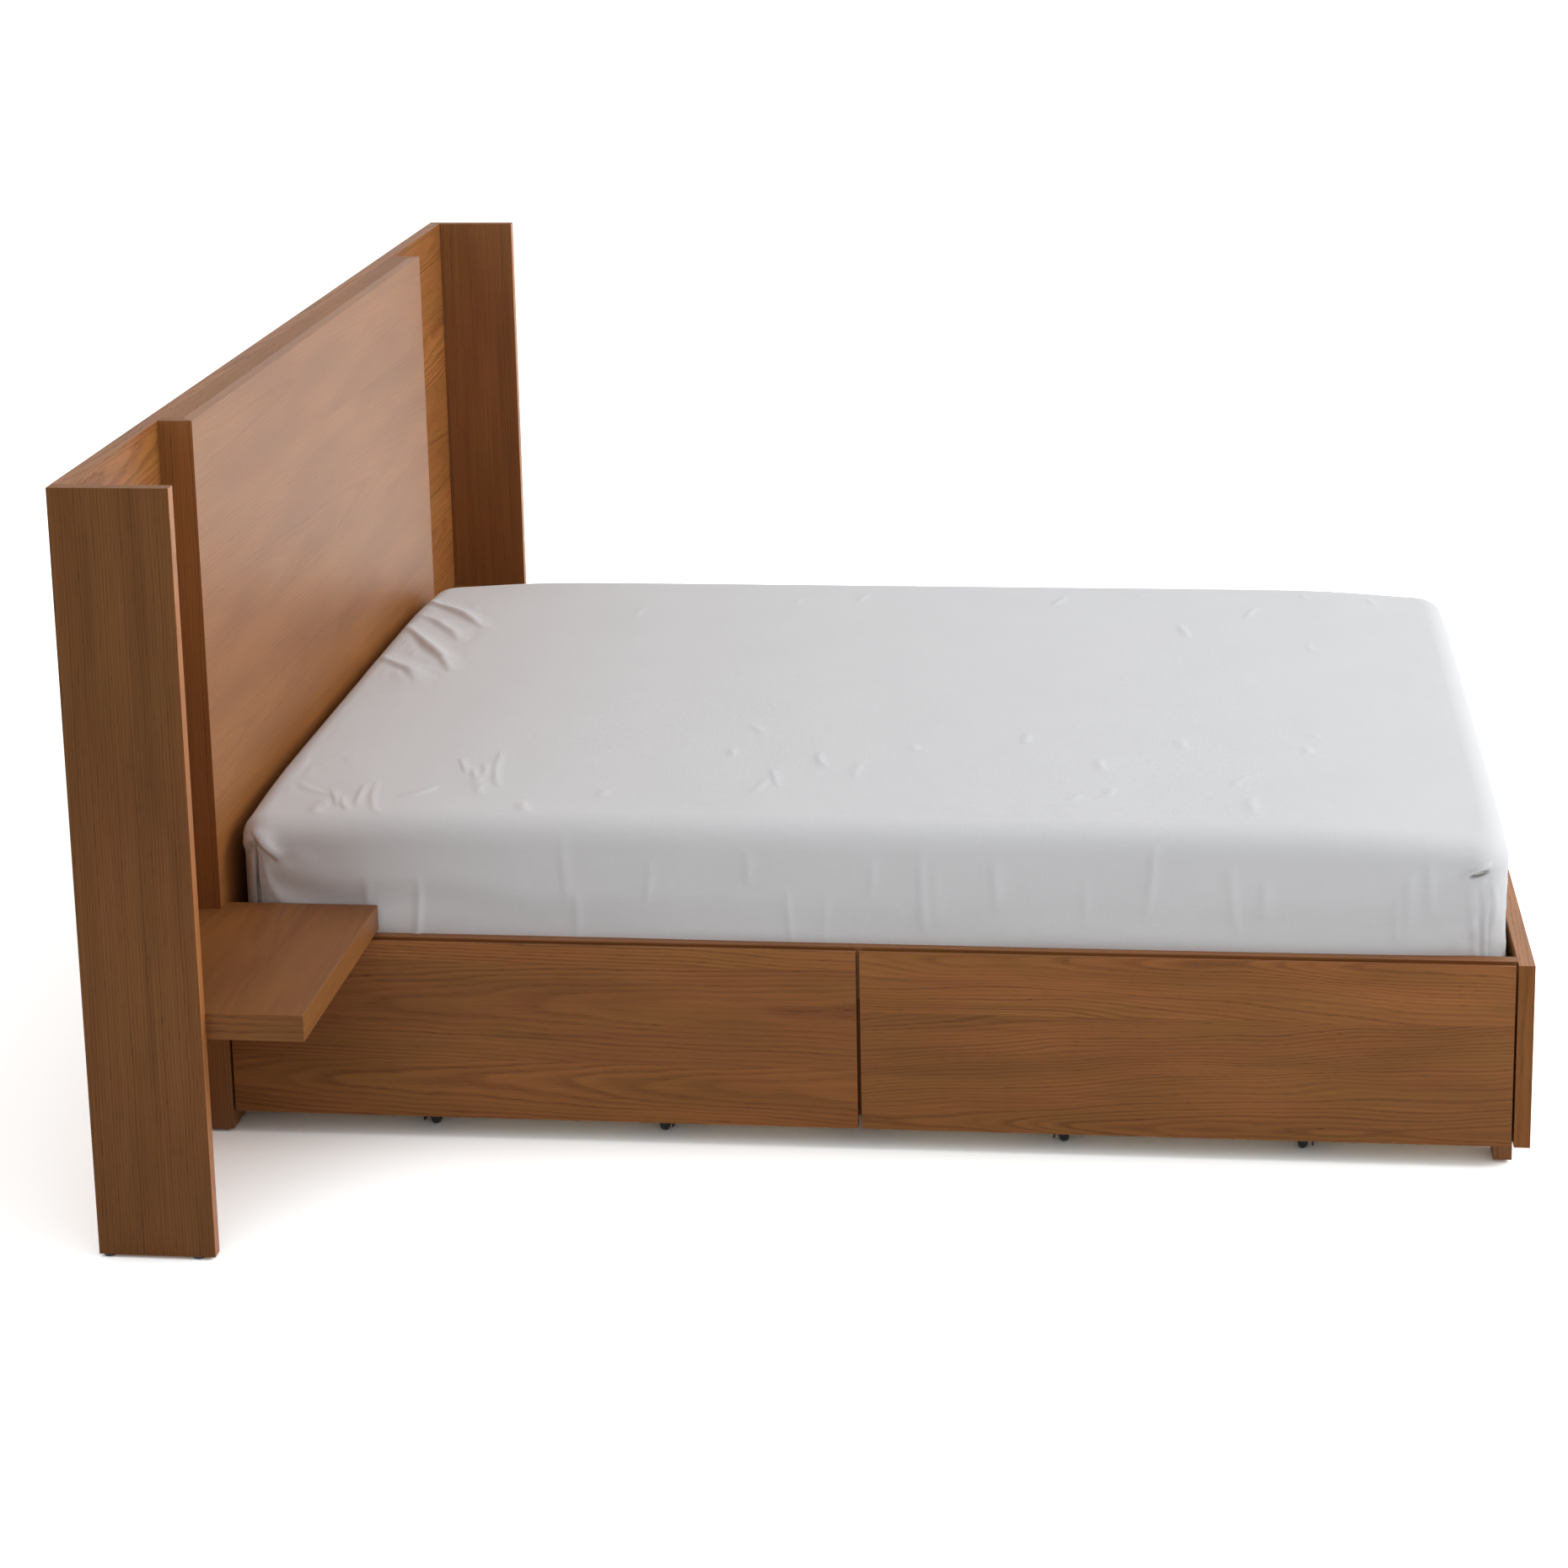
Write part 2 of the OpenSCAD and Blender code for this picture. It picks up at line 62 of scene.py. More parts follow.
def add_object(name, data, **values):
    made = adjust(bpy.data.objects.new(name, data), **values)
    scene.collection.objects.link(made)
    return made


# Camera: the photograph's viewpoint, beside the bed and 2.3 m up

EYE = Vector((-5.799, -0.536, 2.289))
EYE_TURN = [math.radians(a) for a in (77.347, 1.034, -83.814)]
LENS_MM, SENSOR_MM = 76.04, 36
SHIFT = (-0.02, -0.21)


def make_camera():
    lens = adjust(bpy.data.cameras.new("camera"), lens=LENS_MM, sensor_width=SENSOR_MM,
                  shift_x=SHIFT[0], shift_y=SHIFT[1], clip_start=0.05, clip_end=200)
    scene.camera = add_object("camera", lens, location=EYE, rotation_euler=EYE_TURN)


# Light: an even room, which looks white and lights the bed with a share of that, and one
# wide soft window beyond the foot of the bed

WINDOW_AT, WINDOW_AIM = Vector((0.1, -6.4, 4.8)), Vector((0, 0, 0.6))
WINDOW_SIZE = 5.0
WINDOW_POWER = 340
ROOM_LIGHT = 0.70
WHITE = (1, 1, 1, 1)


def seen_directly(tree):
    """1 on the rays of the camera, of reflections and of glass, 0 on those of plain light."""
    path = add_node(tree, "ShaderNodeLightPath")
    seen = maths(tree, "MAXIMUM", path.Is_Camera_Ray, path.Is_Glossy_Ray)
    return maths(tree, "MAXIMUM", seen, path.Is_Transmission_Ray)


def make_light():
    world = bpy.data.worlds.new("white_room")
    scene.world = world
    world.use_nodes = True
    tree = world.node_tree
    tree.nodes.clear()
    strength = add_node(tree, "ShaderNodeMapRange", Value=seen_directly(tree),
                        To_Min=ROOM_LIGHT, To_Max=1.0).Result
    room = add_node(tree, "ShaderNodeBackground", Color=WHITE, Strength=strength)
    add_node(tree, "ShaderNodeOutputWorld", Surface=room.Background)

    lamp = adjust(bpy.data.lights.new("soft_window", "AREA"), shape="DISK",
                  size=WINDOW_SIZE, energy=WINDOW_POWER)
    turn = (WINDOW_AT - WINDOW_AIM).to_track_quat("Z", "Y").to_euler()
    add_object("soft_window", lamp, location=WINDOW_AT, rotation_euler=turn,
               visible_camera=False)


# How white the floor is to the light it passes on, and to the eye, where a little blue
# evens out the warmth that the wood throws on it
FLOOR_LIT = (0.86, 0.86, 0.86, 1)
FLOOR_SEEN = (1.86, 1.94, 1.96, 1)
FLOOR_HALF = 40


def make_floor():
    mesh = bpy.data.meshes.new("floor")
    corners = ((-1, -1), (1, -1), (1, 1), (-1, 1))
    mesh.from_pydata([(x * FLOOR_HALF, y * FLOOR_HALF, 0) for x, y in corners], [],
                     [(0, 1, 2, 3)])
    floor = add_object("floor", mesh)
    material, tree = new_material("white_floor")
    plain = add_node(tree, "ShaderNodeBsdfDiffuse",
                     Color=mix(seen_directly(tree), FLOOR_LIT, FLOOR_SEEN))
    add_node(tree, "ShaderNodeOutputMaterial", Surface=plain.BSDF)
    mesh.materials.append(material)


# Node helpers

FLOAT, VECTOR, COLOUR = "NodeSocketFloat", "NodeSocketVector", "NodeSocketColor"
GEOMETRY = "NodeSocketGeometry"


class Signal:
    """What a socket gives out. Arithmetic with it adds math nodes to its tree."""

    def __init__(self, tree, socket):
        self.tree, self.socket = tree, socket

    def __add__(self, other):
        return maths(self.tree, "ADD", self, other)

    def __sub__(self, other):
        return maths(self.tree, "SUBTRACT", self, other)

    def __mul__(self, other):
        return maths(self.tree, "MULTIPLY", self, other)

    def __truediv__(self, other):
        return maths(self.tree, "DIVIDE", self, other)


def plug(tree, value, socket):
    """Links a signal to a socket, or writes a plain value on it."""
    if isinstance(value, Signal):
        tree.links.new(value.socket, socket)
    else:
        socket.default_value = value


def plug_all(tree, sockets, **values):
    """Plugs values into sockets by name, with underscores for spaces."""
    for label, value in values.items():
        plug(tree, value, sockets[label.replace("_", " ")])


def add_node(tree, kind, settings=None, **values):
    """Adds a node with its settings and inputs, and returns its outputs by name."""
    made = adjust(tree.nodes.new(kind), **(settings or {}))
    plug_all(tree, made.inputs, **values)
    return SimpleNamespace(**{socket.name.replace(" ", "_"): Signal(tree, socket)
                              for socket in made.outputs})


def maths(tree, operation, *values):
    made = adjust(tree.nodes.new("ShaderNodeMath"), operation=operation)
    for value, socket in zip(values, made.inputs):
        plug(tree, value, socket)
    return Signal(tree, made.outputs["Value"])


def vector_maths(operation, a, b=(0, 0, 0)):
    made = adjust(a.tree.nodes.new("ShaderNodeVectorMath"), operation=operation)
    for value, socket in zip((a, b), made.inputs):
        plug(a.tree, value, socket)
    kind = "Value" if operation in ("LENGTH", "DOT_PRODUCT") else "Vector"
    return Signal(a.tree, made.outputs[kind])


def join(tree, **parts):
    return add_node(tree, "ShaderNodeCombineXYZ", **parts).Vector


def split(vector):
    parts = add_node(vector.tree, "ShaderNodeSeparateXYZ", Vector=vector)
    return parts.X, parts.Y, parts.Z


def noise(vector, scale, detail=2.0, roughness=0.5):
    """Noise of vector times scale, where scale may differ along each axis."""
    return add_node(vector.tree, "ShaderNodeTexNoise", Scale=1.0, Detail=detail,
                    Roughness=roughness,
                    Vector=vector_maths("MULTIPLY", vector, scale)).Fac


def chance(number):
    """A random value and colour for each whole number."""
    return add_node(number.tree, "ShaderNodeTexWhiteNoise", {"noise_dimensions": "1D"},
                    W=number)


def step(value, low, high):
    """0 below low, 1 above high, smooth in between. Low may be above high."""
    ends = {"To_Min": 1.0, "To_Max": 0.0} if low > high else {}
    return add_node(value.tree, "ShaderNodeMapRange", {"interpolation_type": "SMOOTHSTEP"},
                    Value=value, From_Min=min(low, high), From_Max=max(low, high),
                    **ends).Result


def mix(amount, a, b):
    """Colour a where the amount is 0 or less, b where it is 1 or more."""
    made = adjust(amount.tree.nodes.new("ShaderNodeMix"), data_type="RGBA")
    colours = [socket for socket in made.inputs if socket.type == "RGBA"]
    for value, socket in zip((amount, a, b), (made.inputs["Factor"], *colours)):
        plug(amount.tree, value, socket)
    return Signal(amount.tree, next(s for s in made.outputs if s.type == "RGBA"))


def group(name, inputs, outputs, kind="ShaderNodeTree"):
    """An empty node group: (tree, its inputs, its outputs). Each input is given by its
    kind of socket, or by the value that a number starts from."""
    tree = bpy.data.node_groups.new(name, kind)
    for label, value in inputs.items():
        number = isinstance(value, float)
        socket = tree.interface.new_socket(label, in_out="INPUT",
                                           socket_type=FLOAT if number else value)
        if number:
            socket.default_value = value
    for label, sort in outputs.items():
        tree.interface.new_socket(label, in_out="OUTPUT", socket_type=sort)
    inside = add_node(tree, "NodeGroupInput")
    return tree, inside, tree.nodes.new("NodeGroupOutput").inputs


def place(tree, made_group, **values):
    """Puts a group in a material with its own values."""
    return add_node(tree, "ShaderNodeGroup", {"node_tree": made_group}, **values)


# Shared surface effects

SURFACE = {"Color": COLOUR, "Roughness": FLOAT, "Height": FLOAT}

# How the stain takes in patches: greener and darker, or redder and lighter
OLIVE, RUSSET = (0.88, 0.98, 0.84, 1), (1.11, 1.02, 1.13, 1)


def wood_grain_group():
    """Planed wood in metres: X runs along the grain, Y across the planks' width and Z
    into the board. Growth rings lie round a pith below the face."""
    tree, inside, outside = group("wood_grain", {
        "Vector": VECTOR, "Seed": 0.0, "Plank Width": 0.12, "Plank Shift": 0.0,
        "Ring Spacing": 0.006, "Pith Depth": 0.05, "Pith Side": 0.0, "Lean": 0.03,
        "Waver": 0.03, "Pores": 1.0, "Plank Contrast": 0.16, "Figure": 0.5, "Streak": 0.35,
        "Blush": 0.0, "Light": COLOUR, "Mid": COLOUR, "Dark": COLOUR}, SURFACE)
    x, y, z = split(inside.Vector)
    y += inside.Plank_Shift
    row = maths(tree, "FLOOR", y / inside.Plank_Width)
    # Each plank is cut from another place in the log
    drawn = chance(row * 7.13 + inside.Seed)
    red, green, blue = split(drawn.Color)
    px = red * 11.0 + x
    py = y - (row + green) * inside.Plank_Width + inside.Pith_Side
    pz = z + inside.Pith_Depth * (blue + 0.5)
    plank = join(tree, X=px, Y=py, Z=pz)

    # Rings lie at equal reaches from the pith, but for slow bends and quick ripples
    reach = vector_maths("LENGTH", join(tree, Y=py, Z=pz))
    reach = (noise(plank, (1.6, 7, 7)) - 0.5) * inside.Waver + reach
    reach = (noise(plank, (9, 30, 30)) - 0.5) * 0.006 + reach
    phase = (px * inside.Lean + reach) / inside.Ring_Spacing
    across = maths(tree, "FRACT", phase)
    ring = chance(maths(tree, "FLOOR", phase)).Value
    early = step(across, 0.0, 0.22) * step(across, 0.85, 0.25) * (ring * 0.7 + 0.3)

    # Fibres, pores in the early wood, and streaks, all drawn out along the grain
    fibre = noise(plank, (5, 330, 330), 3.0, 0.65)
    pore = step(noise(plank, (38, 900, 900)), 0.56, 0.70) * (early * 0.8 + 0.2)
    pore *= inside.Pores
    streak = step(noise(plank, (2.2, 60, 60)), 0.45, 0.75) * inside.Streak

    blotch = step(noise(plank, (2.5, 12, 12)), 0.15, 0.85)
    colour = mix(blotch, inside.Mid, inside.Light)
    colour = mix(early * inside.Figure, colour, inside.Dark)
    colour = mix(streak, colour, inside.Dark)
    patch = mix(step(noise(plank, (4, 18, 18)), 0.36, 0.62), OLIVE, RUSSET)
    colour = vector_maths("MULTIPLY", colour, mix(inside.Blush, WHITE, patch))
    shade = (fibre - 0.5) * 0.5 + 1.0
    shade *= (drawn.Value - 0.5) * inside.Plank_Contrast + 1.0
    shade *= pore * -0.5 + 1.0
    plug_all(tree, outside, Color=vector_maths("MULTIPLY", colour, shade),
             Roughness=pore * 0.25 + (fibre * 0.12 + 0.36),
             Height=pore * -1.0 + (early * -0.25 + fibre * 0.35))
    return tree


def edge_group():
    """Where a painted highlight lies: 1 on the eased corner of a board, 0 on its faces."""
    tree, inside, outside = group("eased_edge", {"Reach": 0.0015}, {"Mask": FLOAT})
    eased = add_node(tree, "ShaderNodeBevel", {"samples": 4}, Radius=inside.Reach)
    plain = add_node(tree, "ShaderNodeNewGeometry")
    turn = vector_maths("DOT_PRODUCT", eased.Normal, plain.Normal)
    plug(tree, step(turn, 0.995, 0.90), outside["Mask"])
    return tree


def weave_group():
    """Plain weave on a UV map in metres: fine threads, thick and thin, and the nap."""
    tree, inside, outside = group("plain_weave", {
        "Vector": VECTOR, "Thread": 0.0006, "Slub": 0.5, "Light": COLOUR, "Dark": COLOUR},
        SURFACE)
    x, y, _ = split(inside.Vector)
    turns = maths(tree, "DIVIDE", math.pi, inside.Thread)
    over = maths(tree, "SINE", x * turns) * maths(tree, "SINE", y * turns)
    slub = noise(inside.Vector, (14, 900, 1)) + noise(inside.Vector, (900, 14, 1))
    cloud = noise(inside.Vector, (6, 6, 6), 3.0)
    tint = (cloud - 0.5) * 0.3 + ((slub - 1.0) * inside.Slub + 0.5)
    plug_all(tree, outside, Color=mix(tint, inside.Dark, inside.Light),
             Height=slub * 0.6 + over, Roughness=slub * 0.06 + 0.80)
    return tree


def speckle_group():
    """Fine speckle and broad smears, for lacquered, plated and moulded surfaces."""
    tree, inside, outside = group("speckle", {
        "Vector": VECTOR, "Grain": 0.0008, "Base": COLOUR, "Rub": COLOUR, "Rough": 0.5},
        SURFACE)
    fine = noise(vector_maths("DIVIDE", inside.Vector, inside.Grain), (1, 1, 1))
    smear = noise(inside.Vector, (24, 24, 24), 3.0)
    rub = (fine - 0.5) * 0.35 + step(smear, 0.45, 0.75) * 0.6
    plug_all(tree, outside, Color=mix(rub, inside.Base, inside.Rub), Height=fine,
             Roughness=smear * 0.18 + (inside.Rough - 0.09))
    return tree


# Materials

WOOD, EDGE, WEAVE, SPECKLE = (wood_grain_group(), edge_group(), weave_group(),
                              speckle_group())


def srgb(r, g, b):
    """A colour as a picture shows it, 0 to 255, as the linear colour a shader takes."""
    linear = [(c / 255 / 12.92 if c < 10 else ((c / 255 + 0.055) / 1.055) ** 2.4)
              for c in (r, g, b)]
    return (*linear, 1.0)


def tones(light, mid, dark):
    return {"Light": srgb(*light), "Mid": srgb(*mid), "Dark": srgb(*dark)}


OAK = tones((152, 99, 52), (132, 82, 41), (92, 50, 22))
# Darker tones, for the shelf ends, and on the near wing as painted shade
DARK_OAK = tones((116, 75, 40), (101, 63, 31), (70, 40, 18))
BIRCH = tones((222, 194, 152), (208, 176, 132), (178, 140, 98))
PINE = tones((226, 196, 148), (214, 178, 126), (176, 128, 80))
# The colour of the painted shade in the sheet's head seams and foot tucks
PAINTED_FOLD_SHADE = srgb(92, 88, 86)
WOOD_RELIEF, SPECKLE_RELIEF = 0.00025, 0.00005


def scaled_tones(stain, share):
    """The same wood's tones times a share: a heavier or lighter stain, and on the boards
    marked where they are made, painted light and painted shade.
    """
    return {label: (*[share * c for c in colour[:3]], 1.0) for label, colour in stain.items()}


def new_material(name, shown=(0.8, 0.8, 0.8, 1)):
    material = adjust(bpy.data.materials.new(name), use_nodes=True, diffuse_color=shown)
    material.node_tree.nodes.clear()
    return material, material.node_tree


def finish_material(material, made, depth, **values):
    """Shades a surface by a group's colour, roughness and height, and by these values."""
    tree = material.node_tree
    bump = add_node(tree, "ShaderNodeBump", Strength=1.0, Distance=depth,
                    Height=made.Height)
    shader = add_node(tree, "ShaderNodeBsdfPrincipled", Base_Color=made.Color,
                      Roughness=made.Roughness, Normal=bump.Normal, **values)
    add_node(tree, "ShaderNodeOutputMaterial", Surface=shader.BSDF)
    return material


def wood(name, lay, stain, centre=(0, 0, 0), gloss=0.3, edge=0.25, **grain):
    """A board's material. Lay names the object axes that run along the grain, across the
    face and into the board. Centre moves the pattern, in object axes."""
    material, tree = new_material(name, stain["Mid"])
    here = add_node(tree, "ShaderNodeTexCoord").Object
    moved = add_node(tree, "ShaderNodeMapping", Vector=here,
                     Location=[-c for c in centre]).Vector
    axes = dict(zip("XYZ", split(moved)))
    plank = join(tree, **{label: axes[axis] for label, axis in zip("XYZ", lay)})
    made = place(tree, WOOD, Vector=plank, **stain, **grain)
    # Painted highlight: the eased edges are lightened towards the light tone, by the share
    # edge
    edge_highlight = place(tree, EDGE).Mask
    made.Color = mix(edge_highlight * edge, made.Color, stain["Light"])
    return finish_material(material, made, WOOD_RELIEF, Specular_IOR_Level=gloss)


def speckled(name, base, rub, rough, metallic=0.0, grain=0.0008):
    base, rub = srgb(*base), srgb(*rub)
    material, tree = new_material(name, base)
    here = add_node(tree, "ShaderNodeTexCoord").Object
    made = place(tree, SPECKLE, Vector=here, Grain=grain, Base=base, Rub=rub, Rough=rough)
    return finish_material(material, made, SPECKLE_RELIEF, Metallic=metallic)


def cloth(name, light, dark, thread, slub, sheen, depth, shade_painted=False):
    """Woven cloth. Where shade is painted on it, the mesh says how much painted shade
    darkens each point.
    """
    light, dark = srgb(*light), srgb(*dark)
    material, tree = new_material(name, light)
    uv = add_node(tree, "ShaderNodeUVMap", {"uv_map": "cloth"}).UV
    made = place(tree, WEAVE, Vector=uv, Thread=thread, Slub=slub, Light=light, Dark=dark)
    if shade_painted:
        # Painted shade: the colour darkens towards the shade colour by the mesh's share
        fold_shade = add_node(tree, "ShaderNodeAttribute", {"attribute_name": "in_fold"}).Fac
        made.Color = mix(fold_shade, made.Color, PAINTED_FOLD_SHADE)
    return finish_material(material, made, depth, Sheen_Weight=sheen, Sheen_Roughness=0.5)


# Boards: a merged copy of each wooden node, with its edges eased

SHARP_TURN, FLAT_TURN = math.radians(30), math.radians(0.5)
SQUARE_ON, FRONT_ON = 0.8, -0.5
EASED, FINE_EASED = 0.0010, 0.0008
MITRE_EASED, PANEL_EASED = 0.0004, 0.0003


def eased_copy(name, ease):
    """A mesh of the CAD node with merged corners and a small round on sharp edges."""
    bm = bmesh.new()
    bm.from_mesh(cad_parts[name].data)
    bmesh.ops.remove_doubles(bm, verts=bm.verts, dist=1e-5)
    bmesh.ops.dissolve_limit(bm, angle_limit=FLAT_TURN, verts=bm.verts, edges=bm.edges)
    sharp = [e for e in bm.edges
             if len(e.link_faces) == 2 and e.calc_face_angle(0) > SHARP_TURN]
    bmesh.ops.bevel(bm, geom=sharp, offset=ease, offset_type="OFFSET", segments=2,
                    profile=0.5, affect="EDGES", clamp_overlap=True)
    mesh = bpy.data.meshes.new(name)
    bm.to_mesh(mesh)
    bm.free()
    return mesh


def add_piece(name, mesh, body):
    piece = add_object(name, mesh)
    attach(piece, body)
    return piece


def cover_faces(mesh, material, chosen):
    """Gives the faces whose normal is chosen another material."""
    mesh.materials.append(material)
    for polygon in mesh.polygons:
        if chosen(polygon.normal):
            polygon.material_index = len(mesh.materials) - 1


def board(node, body, lay, face, ends=None, ease=EASED):
    """Shows a wooden node as an eased board. Ends are the faces square to the grain."""
    mesh = eased_copy(node, ease)
    mesh.materials.append(face)
    if ends:
        along = "XYZ".index(lay[0])
        cover_faces(mesh, ends, lambda normal: abs(normal[along]) > SQUARE_ON)
    piece = add_piece(node + "_board", mesh, body)
    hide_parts(node)
    return piece


def middle_of(node):
    low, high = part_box(node)
    return tuple((low + high) / 2)


# Cuts of board: straight lines close together, arcs, wilder arcs, and a face whose figure
# barely shows
STRAIGHT = dict(Ring_Spacing=0.0050, Waver=0.014, Figure=0.42, Streak=0.17, Pith_Side=0.18,
                Lean=0.004, Blush=0.28)
ARCHED = dict(Ring_Spacing=0.0065, Waver=0.035, Figure=0.50, Streak=0.20, Blush=0.42)
WILD = {**ARCHED, "Waver": 0.09}
FAINT = dict(Ring_Spacing=0.0075, Waver=0.035, Figure=0.16, Streak=0.05,
             Plank_Contrast=0.05, Blush=0.14, Pores=0.3)

# Where boards are cut from the log: plank width, plank shift, pith depth
PLAIN_SAWN, BAND_SAWN = (0.2, 0.1, 0.1), (0.5, 0.0, 0.1)


def oak(name, lay, stain, gloss, cut, seed, log, centre=(0, 0, 0), **values):
    width, shift, pith = log
    return wood("oak_" + name, lay, stain, centre, gloss, edge=0.30, **{
        **cut, "Seed": seed, "Plank_Width": width, "Plank_Shift": shift,
        "Pith_Depth": pith, **values})


def both(node, *values):
    """The rows of a left and a right board, which differ in their seed."""
    *looks, seed, log = values
    return [(node + "_left", *looks, seed, log), (node + "_right", *looks, seed + 2, log)]


def make_oak_boards():
    stained = scaled_tones(OAK, 0.8)
    # The edge strip on the wings' faces towards the window: its grain lies as on an edge, and
    # its paler tones are painted light, for the light those faces catch
    painted_lit_lipping = oak("painted_lit_lipping", "ZXY", scaled_tones(OAK, 1.55), 0.30, STRAIGHT, 47, BAND_SAWN)
    top = oak("top_band", "YZX", OAK, 0.08, STRAIGHT, 41, BAND_SAWN)
    front = oak("shelf_band", "YZX", scaled_tones(DARK_OAK, 1.35), 0.10, STRAIGHT, 45, BAND_SAWN)
    end = oak("end_band", "ZYX", stained, 0.10, STRAIGHT, 43, BAND_SAWN)
    rows = [
        # node, lay, ends, stain, gloss, cut, seed, where it is sawn; some stains hold painted
        # light and shade, as marked
        # Painted light: the back panel's lighter tones stand for the window's light on its
        # front
        ("back_panel", "XZY", end, scaled_tones(OAK, 1.15), 0.12, ARCHED, 3, (0.21, 0.04, 0.09)),
        # Painted shade and light: both wings are one oak, darker on the near wing's fully lit
        # outer face, lighter on the far wing's inner face, which lies in shade
        ("wing_left", "ZYX", top, scaled_tones(DARK_OAK, 1.15), 0.10, STRAIGHT, 5,
         (0.105, 0.02, 0.06)),
        ("wing_right", "ZYX", top, scaled_tones(OAK, 0.9), 0.35, STRAIGHT, 8, (0.11, 0.05, 0.06)),
        # Painted light: the centre panel's face takes lighter tones for the window's light on
        # it
        ("centre_panel_face", "XZY", end, scaled_tones(OAK, 1.08), 0.28, FAINT, 11,
         (0.23, 0.03, 0.06)),
        *both("centre_panel_end", "ZYX", top, OAK, 0.35, STRAIGHT, 13, PLAIN_SAWN),
        ("centre_panel_cap", "XYZ", top, OAK, 0.08, STRAIGHT, 17, PLAIN_SAWN),
        ("shelf_left", "XYZ", front, stained, 0.28, FAINT, 19, (0.15, 0.04, 0.1)),
        ("shelf_right", "XYZ", front, stained, 0.28, FAINT, 21, (0.15, 0.08, 0.1)),
        ("shelf_cleats", "XZY", end, OAK, 0.20, STRAIGHT, 23, PLAIN_SAWN),
        *both("side_rail", "YZX", end, OAK, 0.35, STRAIGHT, 25, (0.2, 0.05, 0.1)),
        # Painted light: the footboard's lighter tones stand for the window's light on its top
        # and front
        ("footboard", "XZY", end, scaled_tones(OAK, 1.35), 0.60, ARCHED, 29, (0.155, 0.10, 0.07)),
        ("corner_posts", "ZXY", top, stained, 0.20, STRAIGHT, 31, PLAIN_SAWN),
        *both("bay_divider", "XZY", end, stained, 0.20, STRAIGHT, 33, PLAIN_SAWN),
    ]
    for node, lay, ends, stain, gloss, cut, seed, log in rows:
        face = oak(node, lay, stain, gloss, cut, seed, log, middle_of(node))
        ease = MITRE_EASED if node.startswith("centre_panel") else EASED
        piece = board(node, ROOT, lay, face, ends, ease)
        # The wings' faces towards the window take the edge strip with its painted light
        if node.startswith("wing"):
            cover_faces(piece.data, painted_lit_lipping, lambda normal: normal.y < FRONT_ON)


def make_drawer_fronts():
    stain, gloss = scaled_tones(OAK, 0.99), 0.15
    ends = oak("front_band", "ZXY", stain, gloss, STRAIGHT, 71, BAND_SAWN)
    rows = [("left_head", ARCHED, 52, (0.170, 0.050, 0.045), 0.035),
            ("left_foot", WILD, 181, (0.205, 0.155, 0.030), 0.060),
            ("right_head", ARCHED, 61, (0.180, 0.050, 0.040), 0.035),
            ("right_foot", WILD, 66, (0.190, 0.050, 0.050), 0.060)]
    for corner, cut, seed, log, lean in rows:
        drawer = "drawer_" + corner
        node = drawer + "_front"
        face = oak(node, "YZX", stain, gloss, cut, seed, log, middle_of(node), Lean=lean)
        board(node, drawer, "YZX", face, ends, FINE_EASED)


def make_drawer_boxes():
    lays = {"side_head": "XZY", "side_foot": "XZY", "back": "YZX", "bottom": "YXZ"}
    faces = {part: wood("birch_" + part, lay, BIRCH, gloss=0.3, edge=0.15, Seed=80 + 3 * i,
                        Plank_Width=0.35, Plank_Shift=0.13, Pith_Depth=0.12, Lean=0.03,
                        Ring_Spacing=0.009, Waver=0.05, Pores=0.15, Plank_Contrast=0.05)
             for i, (part, lay) in enumerate(lays.items())}
    for drawer in DRAWERS:
        for part, lay in lays.items():
            board(f"{drawer}_{part}", drawer, lay, faces[part],
                  ease=PANEL_EASED if part == "bottom" else FINE_EASED)


def make_pine_members():
    rows = [("centre_panel_battens", "XZY"), ("cross_rails", "XZY"), ("centre_beam", "YZX"),
            ("drawer_guides", "XZY"), ("slat_ledgers", "YZX"), ("slats", "XYZ")]
    for i, (node, lay) in enumerate(rows):
        face = wood("pine_" + node, lay, PINE, gloss=0.25, edge=0.1, Seed=91 + 5 * i,
                    Plank_Width=0.137, Plank_Shift=0.02, Pith_Depth=0.05, Lean=0.02,
                    Ring_Spacing=0.007, Waver=0.03, Pores=0.0, Plank_Contrast=0.12)
        board(node, ROOT, lay, face)


# Steel and plastic

def make_hardware():
    """Finishes the metal and plastic nodes: (zinc, black steel), for the screws."""
    black_steel = speckled("black_steel", (26, 26, 27), (52, 52, 54), rough=0.42)
    black_plastic = speckled("black_plastic", (20, 20, 21), (40, 40, 42), rough=0.5,
                             grain=0.0005)
    zinc = speckled("zinc_steel", (176, 178, 180), (208, 210, 212), rough=0.38,
                    metallic=1.0, grain=0.002)
    finishes = {"headboard_bolts": zinc, "rail_hook_plates": zinc, "glides": black_plastic,
                "centre_beam_feet": black_plastic}
    for drawer in DRAWERS:
        finishes[drawer + "_caster_brackets"] = black_steel
        finishes[drawer + "_front_wheels"] = black_plastic
        finishes[drawer + "_rear_wheels"] = black_plastic
    for node, finish in finishes.items():
        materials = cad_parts[node].data.materials
        materials.clear()
        materials.append(finish)
    return zinc, black_steel


# Mattress and fitted sheet: one gridded skin over a rounded slab, its folds shaped where
# a fitted sheet pulls, then settled on the mattress as cloth. Metres

# The dressed mattress: its rounds, its crown, the droop of its corners, how much fuller
# its ends are than the solid's, and where the seams lie round their corners
CORNER, SHOULDER = 0.056, 0.040
CROWN, CROWN_POWER = 0.014, 2.6
CORNER_DROOP, DROOP_REACH = 0.015, 0.17
FULLER_HEAD, FULLER_FOOT = 0.012, 0.010
SEAM_RUN = -0.020

